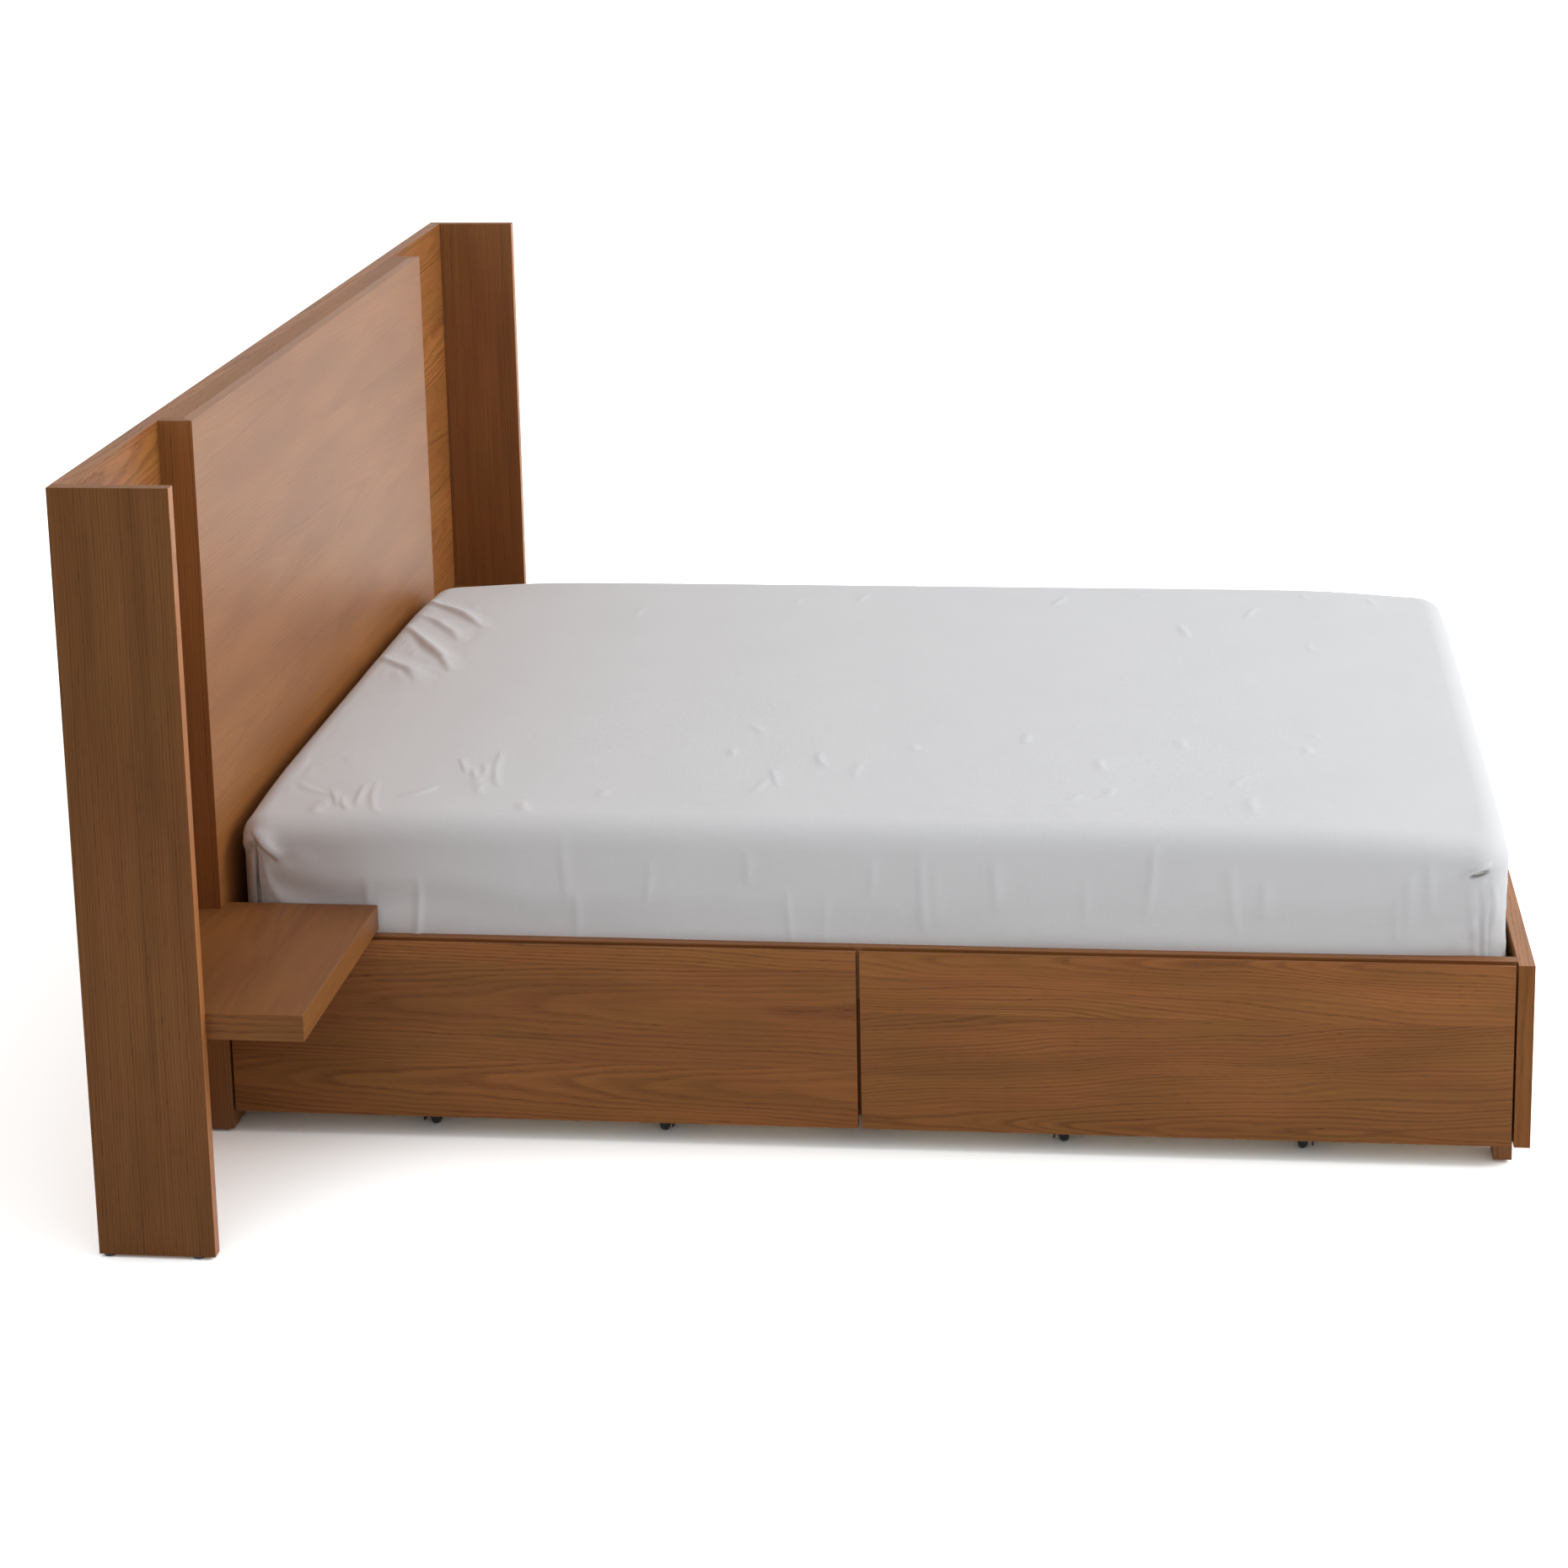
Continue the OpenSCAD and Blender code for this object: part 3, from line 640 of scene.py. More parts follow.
HEM_TURN, HEM_REACH = 0.011, 0.046
MATTRESS_TURN = 0.013
SHEET_LIFT, UNDER_SHEET = 0.0006, 0.0025
TAPE_RADIUS, TAPE_PROUD, TAPE_DROP = 0.0016, 0.0006, SHOULDER * 0.35
HEAD, FOOT, NEAR, FAR = 1, -1, -1, 1
SHEET_SEED = 11
SETTLE_FRAMES, MOST_SETTLING = 18, 0.012
TINY = 1e-9


def spaced_lines(half, near, far, reach_low, reach_high):
    """Places from -half to half: near apart at both ends, far apart beyond the reach."""
    sides = []
    for reach in (reach_low, reach_high):
        inward = [0.0]
        while inward[-1] < half:
            share = min(inward[-1] / reach, 1.0)
            inward.append(inward[-1] + near + (far - near) * share ** 2 * (3 - 2 * share))
        sides.append(half * (1 - np.array(inward) / inward[-1]))
    low, high = sides
    return np.concatenate([-low[:-1], high[::-1]])


def ring_parts(x, y, half_x, half_y, radius):
    """For points of a sharp ring: the anchor inside its round corner, and the way out."""
    ax = np.clip(x, radius - half_x, half_x - radius)
    ay = np.clip(y, radius - half_y, half_y - radius)
    away = np.stack([x - ax, y - ay], -1)
    away /= np.maximum(np.linalg.norm(away, axis=-1, keepdims=True), TINY)
    return np.stack([ax, ay], -1), away


def profile(top, low, turn, waist, counts):
    """Rows from the top's rim outwards, as (inset from the widest ring, height): the
    shoulder, the side, which draws in by waist at half its height and has closer rows
    near the top, the turn under the slab, and the flat hem."""
    shoulder, side, hem = counts
    high = top - SHOULDER
    rows = [(SHOULDER * (1 - math.sin(t)), top - SHOULDER * (1 - math.cos(t)))
            for t in np.linspace(0, math.pi / 2, shoulder + 1)]
    rows += [(waist * math.sin(math.pi * s), high + (low - high) * s)
             for s in np.linspace(0, 1, side + 1)[1:] ** 1.35]
    rows += [(turn * (1 - math.cos(t)), low - turn * math.sin(t))
             for t in np.linspace(0, math.pi / 2, 3)[1:]]
    return rows + [(turn + (HEM_REACH - turn) * (i + 1) / hem, low - turn)
                   for i in range(hem)]


def wrapped_form(half_x, half_y, lines, rows):
    """A rounded slab's skin: its crowned top on a grid, then a ring for each row of its
    profile. Returns points, faces and each point's place on the cloth."""
    inset, rim_z = rows[0]
    top_x, top_y, rim_radius = half_x - inset, half_y - inset, CORNER - inset
    x, y = np.meshgrid(*lines, indexing="ij")
    depth = np.minimum(top_x - abs(x), top_y - abs(y))
    radius = rim_radius * np.clip(1 - depth / (2 * CORNER), 0, 1)
    anchor, away = ring_parts(x, y, top_x - depth, top_y - depth, radius)
    plan = anchor + radius[..., None] * away
    dome = ((1 - abs(plan[..., 0] / top_x) ** CROWN_POWER)
            * (1 - abs(plan[..., 1] / top_y) ** CROWN_POWER))
    points = [np.concatenate([plan, (rim_z + CROWN * dome)[..., None]], -1).reshape(-1, 3)]
    places = [plan.reshape(-1, 2)]

    nx, ny = len(lines[0]), len(lines[1])
    index = np.arange(nx * ny).reshape(nx, ny)
    faces = [np.stack([index[:-1, :-1], index[1:, :-1], index[1:, 1:], index[:-1, 1:]],
                      -1).reshape(-1, 4)]
    rim = np.concatenate([index[:-1, 0], index[-1, :-1], index[:0:-1, -1], index[0, :0:-1]])
    anchor, away = ring_parts(x.ravel()[rim], y.ravel()[rim], top_x, top_y, rim_radius)
    run, above = 0.0, rim
    for (inset_a, z_a), (inset_b, z_b) in zip(rows, rows[1:]):
        run += math.hypot(inset_b - inset_a, z_b - z_a)
        ring = anchor + (CORNER - inset_b) * away
        points.append(np.column_stack([ring, np.full(len(rim), z_b)]))
        places.append(anchor + (rim_radius + run) * away)
        below = np.arange(len(rim)) + sum(len(p) for p in points[:-1])
        faces.append(np.stack([above, below, np.roll(below, -1), np.roll(above, -1)], -1))
        above = below
    return np.concatenate(points), np.concatenate(faces), np.concatenate(places)


def skin_mesh(name, points, faces, places):
    mesh = bpy.data.meshes.new(name)
    mesh.from_pydata(points.tolist(), [], faces.tolist())
    uv = mesh.uv_layers.new(name="cloth")
    corner_points = np.empty(len(mesh.loops), dtype=np.int32)
    mesh.loops.foreach_get("vertex_index", corner_points)
    uv.data.foreach_set("uv", places[corner_points].ravel())
    mesh.shade_smooth()
    return mesh


def read_points(mesh, what="co"):
    """The mesh's points, or its normals, as rows of three."""
    values = np.empty(len(mesh.vertices) * 3)
    mesh.vertices.foreach_get(what, values)
    return values.reshape(-1, 3)


def write_points(mesh, points):
    mesh.vertices.foreach_set("co", points.ravel())
    mesh.update()


# A route may lie this far above or below the cloth
FOLD_DEPTH = 0.014


def fold(points, normals, route, height, left, right):
    """How far one fold lifts each point. Left and right are its half widths on either
    side of the route, as seen from outside."""
    route = np.array(route, dtype=float)
    reach = 4 * max(left, right)
    close = np.all((points > route.min(0) - reach) & (points < route.max(0) + reach), axis=1)
    lift = np.zeros(len(points))
    p, n = points[close], normals[close]
    legs = np.diff(route, axis=0)
    lengths = np.linalg.norm(legs, axis=1)
    run = np.concatenate([[0], np.cumsum(lengths)])
    nearest = np.full(len(p), np.inf)
    share, side = np.zeros(len(p)), np.zeros(len(p))
    for start, leg, length, before in zip(route, legs, lengths, run):
        along = np.clip((p - start) @ leg / length ** 2, 0, 1)
        off = p - start - along[:, None] * leg
        deep = np.einsum("ij,ij->i", off, n)
        flat = np.linalg.norm(off - deep[:, None] * n, axis=1)
        distance = np.hypot(flat, np.clip(abs(deep) - FOLD_DEPTH, 0, None))
        closer = distance < nearest
        nearest[closer] = distance[closer]
        share[closer] = ((before + along * length) / run[-1])[closer]
        side[closer] = np.einsum("ij,ij->i", np.cross(n, leg), off)[closer]
    width = np.where(side > 0, left, right)
    taper = np.sin(math.pi * np.clip(share, 0, 1)) ** 0.7
    lift[close] = height * taper * np.exp(-(nearest / width) ** 2)
    return lift


class Slab:
    """The measures of the dressed mattress, or of the one that lies inside it by a gap,
    and places on its corners."""

    def __init__(self, gap=0.0):
        low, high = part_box("fitted_sheet")
        head, foot = high.y + FULLER_HEAD, low.y - FULLER_FOOT
        self.half_x, self.half_y = (high.x - low.x) / 2 - gap, (head - foot) / 2 - gap
        self.mid_y = (head + foot) / 2
        self.head_edge = high.y
        self.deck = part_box("mattress")[0].z
        self.rim = high.z - CROWN - gap

    def corner(self, side, end, run, drop):
        """A place by a corner: run goes round it from its middle, towards the head or
        foot face when above 0; drop is down from the top edge."""
        cx, cy = side * (self.half_x - CORNER), end * (self.half_y - CORNER)
        quarter = CORNER * math.pi / 4
        turn = math.pi / 4 + min(max(run, -quarter), quarter) / CORNER
        inset = SHOULDER - math.sqrt(max(SHOULDER ** 2 - max(SHOULDER - drop, 0) ** 2, 0))
        radius = CORNER - inset
        x, y = cx + side * radius * math.cos(turn), cy + end * radius * math.sin(turn)
        if run > quarter:
            x -= side * (run - quarter)
        if run < -quarter:
            y += end * (run + quarter)
        return tuple(self.drooped(np.array([[x, y + self.mid_y, self.rim - drop]]))[0])

    def drooped(self, points):
        """The points, lowered towards the four corners as the sheet pulls them down."""
        away = np.hypot(self.half_x - abs(points[:, 0]),
                        self.half_y - abs(points[:, 1] - self.mid_y))
        height = np.clip((points[:, 2] - self.deck) / (self.rim - self.deck), 0, 1)
        lower = CORNER_DROOP * np.exp(-(away / DROOP_REACH) ** 2) * height ** 1.5
        return points - lower[:, None] * (0, 0, 1)


# Folds round a corner seam, as (run, drop) in mm, then height and half widths in mm.
# The slack settles as cloth. The lips, the seam and the small tucks are laid over it
SEAM_SLACK = [
    ([(18, 16), (-4, 28), (-24, 45), (-44, 66)], 4.6, 17, 8),
    ([(-6, 82), (-19, 120), (-32, 160), (-40, 220)], 3.8, 19, 7),
    ([(8, 90), (22, 140), (31, 210)], 3.2, 8, 14),
    ([(-50, 100), (-62, 150), (-66, 220)], 1.8, 16, 9),
]
SEAM_LINE = [(0, 30), (0, 45), (0, 140), (0, 250)]
HEAD_LIPS = [
    ([(12, 18), (-4, 30), (-20, 46), (-42, 70)], 5.2, 11, 2.4),
    ([(4, 36), (-8, 45), (-21, 58), (-36, 76)], -5.0, 3.2, 4.4),
    ([(-3, 32), (14, 40), (38, 60)], 5.0, 2.6, 11),
    ([(0, 48), (16, 54), (32, 70)], -3.5, 3.0, 4.0),
    (SEAM_LINE, -3.2, 2.4, 2.4),
    ([(-9, 62), (-16, 92), (-24, 122)], 2.0, 8, 3.0),
    ([(14, 58), (10, 84), (16, 110)], 1.6, 3.5, 7),
]
FOOT_TUCK = [(-38, 60), (-20, 54), (-2, 49)]
FOOT_LIPS = [
    ([(-50, 58), (-24, 44), (0, 31)], 4.6, 10, 2.6),
    (FOOT_TUCK, -6.0, 2.6, 4.2),
    ([(-33, 60), (-35, 90), (-31, 130), (-26, 165), (-28, 230)], 2.4, 4, 13),
    ([(-6, 100), (-7, 150), (-6, 235)], 2.6, 3.2, 2.6),
    ([(-12, 105), (-13, 160), (-12, 235)], -1.6, 2.6, 2.6),
    ([(0, 58), (-5, 68), (-11, 80)], -1.6, 2.0, 2.6),
    ([(6, 66), (12, 110), (8, 160)], 1.8, 4, 8),
    ([(-20, 78), (-16, 110), (-21, 150)], -1.2, 4, 4),
]

# Slack swept along the head edge of the top, as (x, y) in mm from the middle of the
# head edge, then height and half widths: four at the far end, lower ones at the near
HEAD_FOLDS = [
    ([(612, 4), (545, -40), (470, -105), (350, -182)], 8.0, 25, 10),
    ([(480, -10), (425, -60), (330, -118), (255, -152)], 5.5, 23, 11),
    ([(400, 4), (345, -34), (235, -90), (145, -140), (45, -178)], 9.0, 27, 10),
    ([(185, -4), (130, -40), (70, -92), (-30, -132)], 7.0, 32, 13),
    ([(-560, -40), (-610, -75), (-650, -130)], 3.5, 24, 14),
    ([(-470, -36), (-500, -80), (-560, -120)], 2.5, 26, 16),
]

# Short creases of the near edge, as (x, y) in mm from the middle of the head edge
EDGE_CREASES = [
    [(-615, -115), (-660, -132), (-705, -148)],
    [(-648, -142), (-690, -152), (-728, -172)],
    [(-592, -168), (-665, -172), (-712, -180)],
    [(-585, -186), (-660, -194), (-720, -212), (-748, -235)],
    [(-466, -304), (-520, -322), (-556, -334)],
    [(-512, -334), (-548, -344), (-580, -356)],
    [(-494, -352), (-532, -360), (-566, -362)],
    [(-418, -366), (-522, -376), (-590, -390), (-630, -412)],
    [(-500, -846), (-566, -860), (-596, -870)],
]


def seam_routes(bed, end, folds, share=1.0):
    """The folds of both corner seams at one end: (route, height, left, right) in metres."""
    found = []
    for side in (NEAR, FAR):
        for places, height, left, right in folds:
            route = [bed.corner(side, end, SEAM_RUN + run / 1000, drop / 1000)
                     for run, drop in places]
            wide = (left, right) if side * end < 0 else (right, left)
            found.append((route, share * height / 1000, wide[0] / 1000, wide[1] / 1000))
    return found


def top_route(bed, places, height):
    """A route over the top, from places in mm from the middle of the head edge."""
    return [(x / 1000, bed.head_edge + y / 1000, bed.rim + height) for x, y in places]


def head_folds(bed, share=1.0, narrow=1.0):
    """The folds by the head edge, at a share of their height and of their width."""
    return [(top_route(bed, places, CROWN / 2), share * height / 1000,
             narrow * left / 1000, narrow * right / 1000)
            for places, height, left, right in HEAD_FOLDS]


def fold_routes(bed):
    """The big folds, which settle as cloth."""
    return (seam_routes(bed, HEAD, SEAM_SLACK) + seam_routes(bed, FOOT, SEAM_SLACK, 0.5)
            + head_folds(bed))


# Height and half widths of a crease by the near edge
EDGE_CREASE = (0.0018, 0.0085, 0.0036)
TOP_CREASES = 34

# Upright slack: the side it lies on (none for the foot), how many, the ranges of its
# height and of one half width, and the other half width
UPRIGHT_SLACK = [(NEAR, 20, (0.0014, 0.0030), (0.005, 0.014), 0.007),
                 (FAR, 20, (0.0014, 0.0030), (0.005, 0.014), 0.007),
                 (None, 12, (0.0008, 0.0020), (0.006, 0.016), 0.010)]


def crease_routes(bed, rng):
    """The fine creases, laid over the settled cloth."""
    found = (seam_routes(bed, HEAD, HEAD_LIPS) + seam_routes(bed, FOOT, FOOT_LIPS)
             + head_folds(bed, 0.6, 0.8)[:4])
    found += [(top_route(bed, places, 0.004), *EDGE_CREASE) for places in EDGE_CREASES]
    # Faint creases across the top, most of them within reach of the long edges
    for _ in range(TOP_CREASES):
        side = rng.choice([NEAR, FAR])
        x = side * (bed.half_x - 0.06 - 0.45 * rng.random() ** 2)
        y = bed.mid_y + (bed.half_y - 0.12) * rng.uniform(-1, 1)
        turn, bow = rng.normal(0, 0.35), rng.normal(0, 0.010)
        half = rng.uniform(0.018, 0.055)
        route = [(x + t * half * math.cos(turn) - bow * (1 - t * t) * math.sin(turn),
                  y + t * half * math.sin(turn) + bow * (1 - t * t) * math.cos(turn),
                  bed.rim + 0.006) for t in (-1, -0.4, 0.4, 1)]
        found.append((route, rng.uniform(0.0010, 0.0022), rng.uniform(0.006, 0.012), 0.007))
    for side, count, heights, widths, other in UPRIGHT_SLACK:
        for _ in range(count):
            middle = ((bed.half_y if side else bed.half_x) - 0.10) * rng.uniform(-1, 1)
            top, run = rng.uniform(0.02, 0.12), rng.uniform(0.06, 0.15)
            lean = rng.normal(0, 0.010)
            route = []
            for t in (0, 0.33, 0.66, 1):
                along = middle + lean * t * t
                x, y = (side * bed.half_x, along) if side else (along, -bed.half_y)
                route.append((x, bed.mid_y + y, bed.rim - top - run * t))
            found.append((route, rng.uniform(*heights), rng.uniform(*widths), other))
    return found


def shape_folds(mesh, routes):
    points, normals = read_points(mesh), read_points(mesh, "normal")
    lift = sum(fold(points, normals, *route) for route in routes)
    write_points(mesh, points + lift[:, None] * normals)


# A point is beside a route where a fold there would lift it by this share of its height
BESIDE = 0.12


def split_long_edges(mesh, routes, limit, margin=0.0):
    """Splits the edges beside the routes, four times at most, until none of them is
    longer than the limit."""
    for _ in range(4):
        points, normals = read_points(mesh), read_points(mesh, "normal")
        near = sum(fold(points, normals, route, 1.0, left + margin, right + margin)
                   for route, _, left, right in routes) > BESIDE
        bm = bmesh.new()
        bm.from_mesh(mesh)
        long = [e for e in bm.edges if (near[e.verts[0].index] or near[e.verts[1].index])
                and e.calc_length() > limit]
        bmesh.ops.subdivide_edges(bm, edges=long, cuts=1, use_grid_fill=True)
        bm.to_mesh(mesh)
        bm.free()
        if not long:
            break


def paint_fold_shade(mesh, routes):
    """Writes how much painted shade each point takes, by its nearness to the routes of the
    folds that take it, for the cloth's colour.
    """
    points, normals = read_points(mesh), read_points(mesh, "normal")
    depth = sum(fold(points, normals, route, share, wide, wide)
                for route, share, wide in routes)
    mesh.attributes.new("in_fold", "FLOAT", "POINT").data.foreach_set(
        "value", np.clip(depth, 0, 1))


COTTON = dict(quality=5, mass=0.12, tension_stiffness=30, compression_stiffness=30,
              shear_stiffness=12, bending_stiffness=0.8, vertex_group_mass="held")
GRAVITY_SHARE = 0.35


def evaluated(piece):
    return piece.evaluated_get(bpy.context.evaluated_depsgraph_get())


def settle_as_cloth(piece, under, held):
    """Runs the cloth simulation on piece over the solid under it, with the held points
    pinned, and keeps the result, with no point more than MOST_SETTLING from its start."""
    start = read_points(piece.data)
    piece.vertex_groups.new(name="held").add(held.tolist(), 1.0, "REPLACE")
    under.modifiers.new("solid", "COLLISION")
    adjust(under.collision, thickness_outer=0.001, cloth_friction=12)
    cloth_made = piece.modifiers.new("cotton", "CLOTH")
    cotton = adjust(cloth_made.settings, **COTTON)
    cotton.effector_weights.gravity = GRAVITY_SHARE
    adjust(cloth_made.collision_settings, distance_min=0.0012, use_self_collision=False)
    adjust(cloth_made.point_cache, frame_start=1, frame_end=SETTLE_FRAMES)
    for number in range(1, SETTLE_FRAMES + 1):
        scene.frame_set(number)
    moved = read_points(evaluated(piece).data) - start
    piece.modifiers.remove(cloth_made)
    under.modifiers.clear()
    piece.vertex_groups.clear()
    scene.frame_set(1)
    far = np.linalg.norm(moved, axis=1, keepdims=True)
    moved *= np.minimum(1, MOST_SETTLING / np.maximum(far, TINY))
    write_points(piece.data, start + moved)


def finer(piece):
    """The piece's mesh with one level of smooth subdivision, as a new mesh."""
    smooth = piece.modifiers.new("finer", "SUBSURF")
    smooth.levels = smooth.render_levels = 1
    mesh = bpy.data.meshes.new_from_object(evaluated(piece))
    piece.modifiers.clear()
    return mesh


# Spacing of a skin's grid in its corners and far from them
CORE_LINES, SHEET_LINES = (0.008, 0.04), (0.0066, 0.034)


def slab_skin(name, slab, spacing, reaches, turn, waist, counts):
    """The skin of a slab, its grid's lines, and the height where it turns under. Counts
    are its rows of shoulder, side and hem."""
    lines = [spaced_lines(half - SHOULDER, *spacing, *reach)
             for half, reach in zip((slab.half_x, slab.half_y), reaches)]
    low = slab.deck + SHEET_LIFT + turn
    rows = profile(slab.rim, low, turn, waist, counts)
    points, faces, places = wrapped_form(slab.half_x, slab.half_y, lines, rows)
    points = slab.drooped(points + (0, slab.mid_y, 0))
    return skin_mesh(name, points, faces, places), lines, low


def make_mattress():
    """The crowned mattress with a taped edge above and below, hidden by the sheet."""
    ticking = cloth("mattress_ticking", (236, 233, 226), (214, 210, 200), thread=0.0012,
                    slub=0.5, sheen=0.1, depth=0.0003)
    tape = cloth("mattress_tape", (212, 206, 196), (190, 184, 172), thread=0.0018,
                 slub=0.3, sheen=0.1, depth=0.0003)
    bare = Slab(UNDER_SHEET)
    mesh, lines, low = slab_skin("mattress_core", bare, CORE_LINES, [(0.2, 0.2)] * 2,
                                 MATTRESS_TURN, waist=0.003, counts=(6, 12, 2))
    bm = bmesh.new()
    bm.from_mesh(mesh)
    last_ring = 2 * (len(lines[0]) + len(lines[1])) - 4
    bm.faces.new(list(bm.verts)[::-1][:last_ring])
    bm.to_mesh(mesh)
    bm.free()
    mesh.materials.append(ticking)
    core = add_piece("mattress_core", mesh, ROOT)
    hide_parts("mattress")

    taped = Slab(UNDER_SHEET + TAPE_RADIUS)
    vertices, edges = [], []
    for drop in (TAPE_DROP, bare.rim - low):
        first = len(vertices)
        for side, end in ((FAR, HEAD), (NEAR, HEAD), (NEAR, FOOT), (FAR, FOOT)):
            runs = np.linspace(-CORNER * 0.8, CORNER * 0.8, 9) * side * end
            vertices += [taped.corner(side, end, run, drop) for run in runs]
        count = len(vertices) - first
        edges += [(first + i, first + (i + 1) % count) for i in range(count)]
    tube = grown("mattress_tape", vertices, edges, piping_tree(tape),
                 Radius=TAPE_RADIUS + TAPE_PROUD)
    add_piece("mattress_tape", tube, ROOT)
    return core


# Where shade is painted on the sheet's seams and tucks: its end, its route, how much of the
# painted shade it takes and its width
PAINTED_SHADE_FOLDS = [(HEAD, SEAM_LINE, 1.0, 0.0024), (FOOT, FOOT_TUCK, 0.8, 0.0042)]
# The longest edges left beside the big folds, the creases, the lips and the folds with
# painted shade
BIG_EDGE, CREASE_EDGE, LIP_EDGE, PAINTED_SHADE_EDGE = 0.011, 0.0046, 0.0024, 0.0020
# Two rows of stitches beside each corner seam
SEAM_SPREAD, SEAM_FOOT, STITCHES_DOWN = 0.0030, 0.238, 80
SEAM_TOP, STITCH_PROUD = {HEAD: 0.036, FOOT: 0.075}, 0.0002
STITCH = dict(Spacing=0.0036, Length=0.0024, Thickness=0.0004)


def make_sheet(bed, core):
    cotton = cloth("sheet_cotton", (224, 225, 227), (206, 207, 210), thread=0.0007,
                   slub=0.35, sheen=0.08, depth=0.00012, shade_painted=True)
    thread = cloth("seam_thread", (222, 222, 222), (195, 195, 197), thread=0.0004,
                   slub=0.3, sheen=0.2, depth=0.00005)
    mesh, _, low = slab_skin("sheet_settling", bed, SHEET_LINES,
                             [(0.30, 0.30), (0.26, 0.40)], HEM_TURN, waist=0.0025,
                             counts=(7, 18, 3))
    split_long_edges(mesh, head_folds(bed), BIG_EDGE, margin=0.004)
    shape_folds(mesh, fold_routes(bed))
    piece = add_object("sheet_settling", mesh)
    settle_as_cloth(piece, core, np.flatnonzero(read_points(mesh)[:, 2] < low))
    mesh = finer(piece)
    bpy.data.objects.remove(piece)
    creases = crease_routes(bed, np.random.default_rng(SHEET_SEED))
    split_long_edges(mesh, creases, CREASE_EDGE, margin=0.001)
    lips = seam_routes(bed, HEAD, HEAD_LIPS[:4]) + seam_routes(bed, FOOT, FOOT_LIPS[:2])
    split_long_edges(mesh, lips, LIP_EDGE)
    shape_folds(mesh, creases)
    # Painted shade along the head seams and the foot tucks, where the cloth turns in
    shade_painted = [([bed.corner(side, end, SEAM_RUN + run / 1000, drop / 1000)
                for run, drop in places], share, wide)
              for side in (NEAR, FAR) for end, places, share, wide in PAINTED_SHADE_FOLDS]
    split_long_edges(mesh, [(route, 0, 0.003, 0.003) for route, _, _ in shade_painted], PAINTED_SHADE_EDGE)
    paint_fold_shade(mesh, shade_painted)
    mesh.materials.clear()
    mesh.materials.append(cotton)
    sheet = add_piece("fitted_sheet_cotton", mesh, ROOT)
    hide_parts("fitted_sheet")

    vertices, edges = [], []
    for side, end in ((NEAR, HEAD), (NEAR, FOOT), (FAR, HEAD), (FAR, FOOT)):
        for run in (SEAM_RUN - SEAM_SPREAD, SEAM_RUN + SEAM_SPREAD):
            first = len(vertices)
            for drop in np.linspace(SEAM_TOP[end], SEAM_FOOT, STITCHES_DOWN):
                spot = Vector(bed.corner(side, end, run, drop))
                _, where, out, _ = sheet.closest_point_on_mesh(spot)
                vertices.append(where + STITCH_PROUD * out)
            edges += [(i, i + 1) for i in range(first, len(vertices) - 1)]
    rows = grown("corner_stitches", vertices, edges, stitch_tree(thread), **STITCH)
    stitches = add_piece("corner_stitches", rows, ROOT)

    drop = bed.rim - bed.deck + HEM_REACH
    cut = (2 * (bed.half_x + drop), 2 * (bed.half_y + drop))
    cut[0] * cut[1] - 4 * drop ** 2


# What repeats along a line or at a set of places, grown by geometry nodes

def geometry_group(name, **inputs):
    return group(name, {"Geometry": GEOMETRY, **inputs}, {"Geometry": GEOMETRY},
                 "GeometryNodeTree")


def finish_tree(tree, outside, geometry, material):
    solid = add_node(tree, "GeometryNodeRealizeInstances", Geometry=geometry).Geometry
    coated = add_node(tree, "GeometryNodeSetMaterial", Geometry=solid, Material=material)
    plug(tree, coated.Geometry, outside["Geometry"])
    return tree


def grown(name, vertices, edges, tree, **values):
    """Runs a geometry node tree once on these points, and returns the result as a mesh."""
    mesh = bpy.data.meshes.new(name + "_places")
    mesh.from_pydata(vertices, edges, [])
    base = add_object(name + "_base", mesh)
    made = base.modifiers.new("grow", "NODES")
    made.node_group = tree
    for item in tree.interface.items_tree:
        if item.in_out == "INPUT" and item.name in values:
            made[item.identifier] = values[item.name]
    result = bpy.data.meshes.new_from_object(evaluated(base))
    bpy.data.objects.remove(base)
    result.name = name
    return result


def piping_tree(material):
    tree, inside, outside = geometry_group("tape_piping", Radius=0.002)
    line = add_node(tree, "GeometryNodeMeshToCurve", Mesh=inside.Geometry).Curve
    rim = add_node(tree, "GeometryNodeCurvePrimitiveCircle", Resolution=10,
                   Radius=inside.Radius).Curve
    tube = add_node(tree, "GeometryNodeCurveToMesh", Curve=line, Profile_Curve=rim).Mesh
    smooth = add_node(tree, "GeometryNodeSetShadeSmooth", Geometry=tube).Geometry
    return finish_tree(tree, outside, smooth, material)


def stitch_tree(material):
    tree, inside, outside = geometry_group("stitch_row", **STITCH)
    line = add_node(tree, "GeometryNodeMeshToCurve", Mesh=inside.Geometry).Curve
    steps = add_node(tree, "GeometryNodeResampleCurve", {"mode": "LENGTH"}, Curve=line,
                     Length=inside.Spacing).Curve
    bead = add_node(tree, "GeometryNodeMeshUVSphere", Segments=6, Rings=4,
                    Radius=0.5).Mesh
    size = join(tree, X=inside.Length, Y=inside.Thickness, Z=inside.Thickness)
    along = add_node(tree, "GeometryNodeInputTangent").Tangent
    turn = add_node(tree, "FunctionNodeAlignRotationToVector", {"axis": "X"},
                    Vector=along).Rotation
    stitches = add_node(tree, "GeometryNodeInstanceOnPoints", Points=steps, Instance=bead,
                        Rotation=turn, Scale=size).Instances
    return finish_tree(tree, outside, stitches, material)


# Shares of a screw head's radius
RIM_SHARE, RECESS_SHARE = 0.62, 1.15


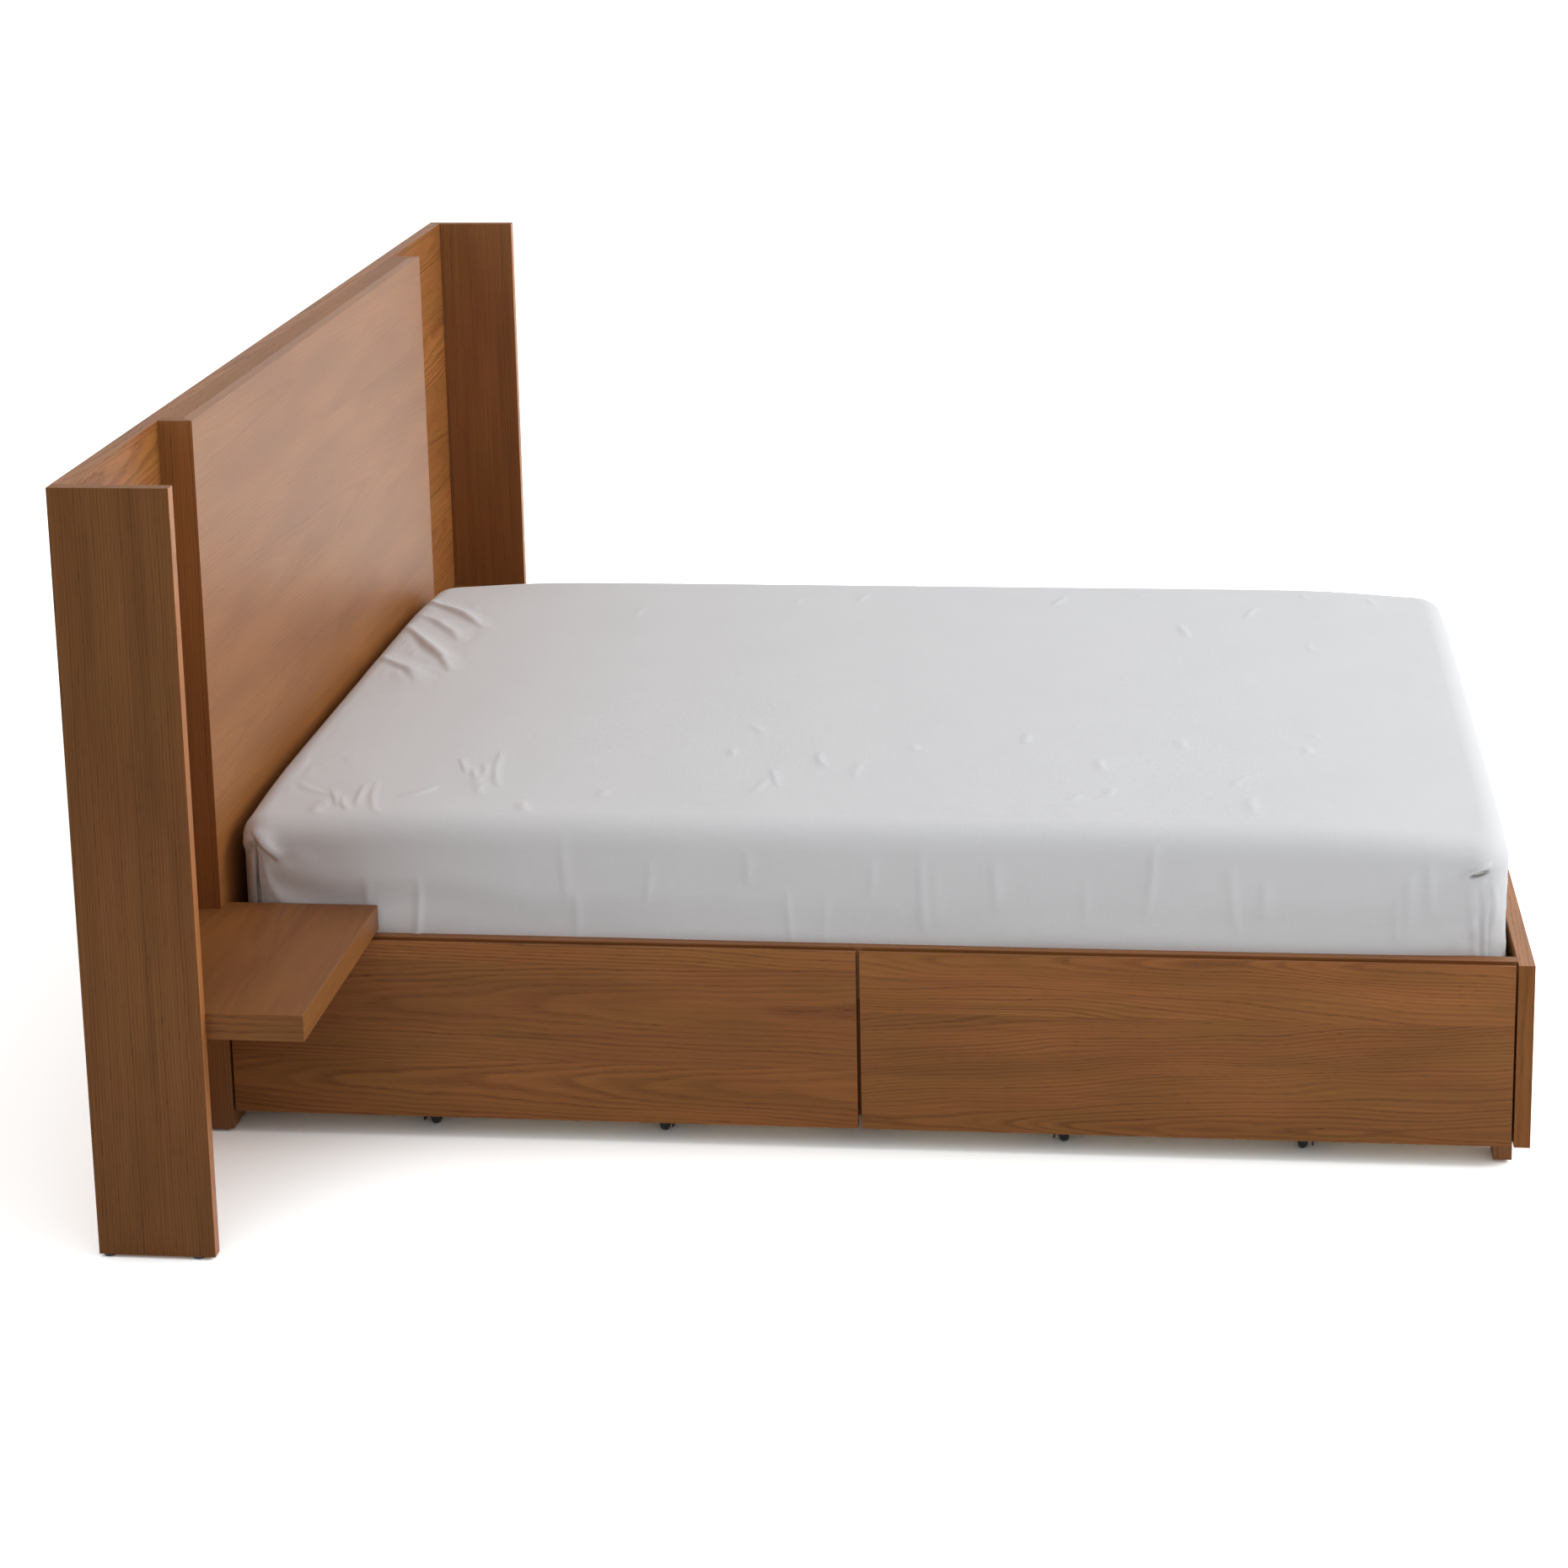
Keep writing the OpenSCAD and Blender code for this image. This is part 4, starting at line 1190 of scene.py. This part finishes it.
def screw_tree(material):
    """Pan-head screws with a cross recess, head up before their turn."""
    tree, inside, outside = geometry_group(
        "pan_screws", Radius=0.0034, Height=0.0018, Slot=0.0008, Turn=VECTOR)
    radius, height, slot = inside.Radius, inside.Height, inside.Slot
    cut = adjust(tree.nodes.new("GeometryNodeMeshBoolean"), operation="DIFFERENCE")
    head = add_node(tree, "GeometryNodeMeshCone", Vertices=20, Side_Segments=2,
                    Radius_Top=radius * RIM_SHARE, Radius_Bottom=radius, Depth=height)
    plug(tree, head.Mesh, cut.inputs["Mesh 1"])
    long, up = radius * RECESS_SHARE, join(tree, Z=height)
    for x, y in ((long, slot), (slot, long)):
        bar = add_node(tree, "GeometryNodeMeshCube", Size=join(tree, X=x, Y=y, Z=height))
        raised = add_node(tree, "GeometryNodeTransform", Geometry=bar.Mesh,
                          Translation=up)
        plug(tree, raised.Geometry, cut.inputs["Mesh 2"])
    turn = add_node(tree, "FunctionNodeEulerToRotation", Euler=inside.Turn).Rotation
    screws = add_node(tree, "GeometryNodeInstanceOnPoints", Points=inside.Geometry,
                      Instance=Signal(tree, cut.outputs["Mesh"]), Rotation=turn)
    return finish_tree(tree, outside, screws.Instances, material)


FACING_DOWN, FACING_UP, FACING_FOOT = (math.pi, 0, 0), (0, 0, 0), (math.pi / 2, 0, 0)

# Half a caster's plate, and how far its screws stand in from its edges
PLATE_X, PLATE_Y, PLATE_INSET = 0.032, 0.023, 0.007
SLAT_GAP, SLAT_INSET, SLAT_SUNK = 0.03, 0.012, 0.0006
CLEAT_PROUD = 0.0008


def add_screws(name, places, turn, body, tree):
    """Screws at places, one mesh, with the middle of each head at its place."""
    return add_piece(name, grown(name, places, [], tree, Turn=turn), body)


def make_screws(zinc, black_steel):
    black_screws, zinc_screws = screw_tree(black_steel), screw_tree(zinc)
    sides = (-1, 1)
    for drawer in DRAWERS:
        low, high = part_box(drawer + "_caster_brackets")
        plate_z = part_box(drawer + "_bottom")[0].z
        places = [(x + a * (PLATE_X - PLATE_INSET), y + b * (PLATE_Y - PLATE_INSET), plate_z)
                  for x in (low.x + PLATE_X, high.x - PLATE_X)
                  for y in (low.y + PLATE_Y, high.y - PLATE_Y) for a in sides for b in sides]
        add_screws(drawer + "_plate_screws", places, FACING_DOWN, drawer, black_screws)
    edges = np.unique(np.round(read_points(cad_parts["slats"].data)[:, 1], 4))
    breaks = np.flatnonzero(np.diff(edges) > SLAT_GAP)
    starts = np.concatenate([[edges[0]], edges[breaks + 1]])
    ends = np.concatenate([edges[breaks], [edges[-1]]])
    low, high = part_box("slats")
    places = [(x, (a + b) / 2, high.z - SLAT_SUNK) for a, b in zip(starts, ends)
              for x in (low.x + SLAT_INSET, high.x - SLAT_INSET)]
    add_screws("slat_screws", places, FACING_UP, ROOT, zinc_screws)
    cleat_low, cleat_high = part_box("shelf_cleats")
    shelves = [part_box(shelf) for shelf in ("shelf_left", "shelf_right")]
    places = [(low.x + (high.x - low.x) * share, cleat_low.y - CLEAT_PROUD,
               (cleat_low.z + cleat_high.z) / 2)
              for low, high in shelves for share in (0.25, 0.5, 0.75)]
    add_screws("cleat_screws", places, FACING_FOOT, ROOT, zinc_screws)


scene.view_settings.view_transform = "Standard"
make_camera()
make_light()
make_floor()
make_oak_boards()
make_drawer_fronts()
make_drawer_boxes()
make_pine_members()
zinc, black_steel = make_hardware()
make_screws(zinc, black_steel)
make_sheet(Slab(), make_mattress())
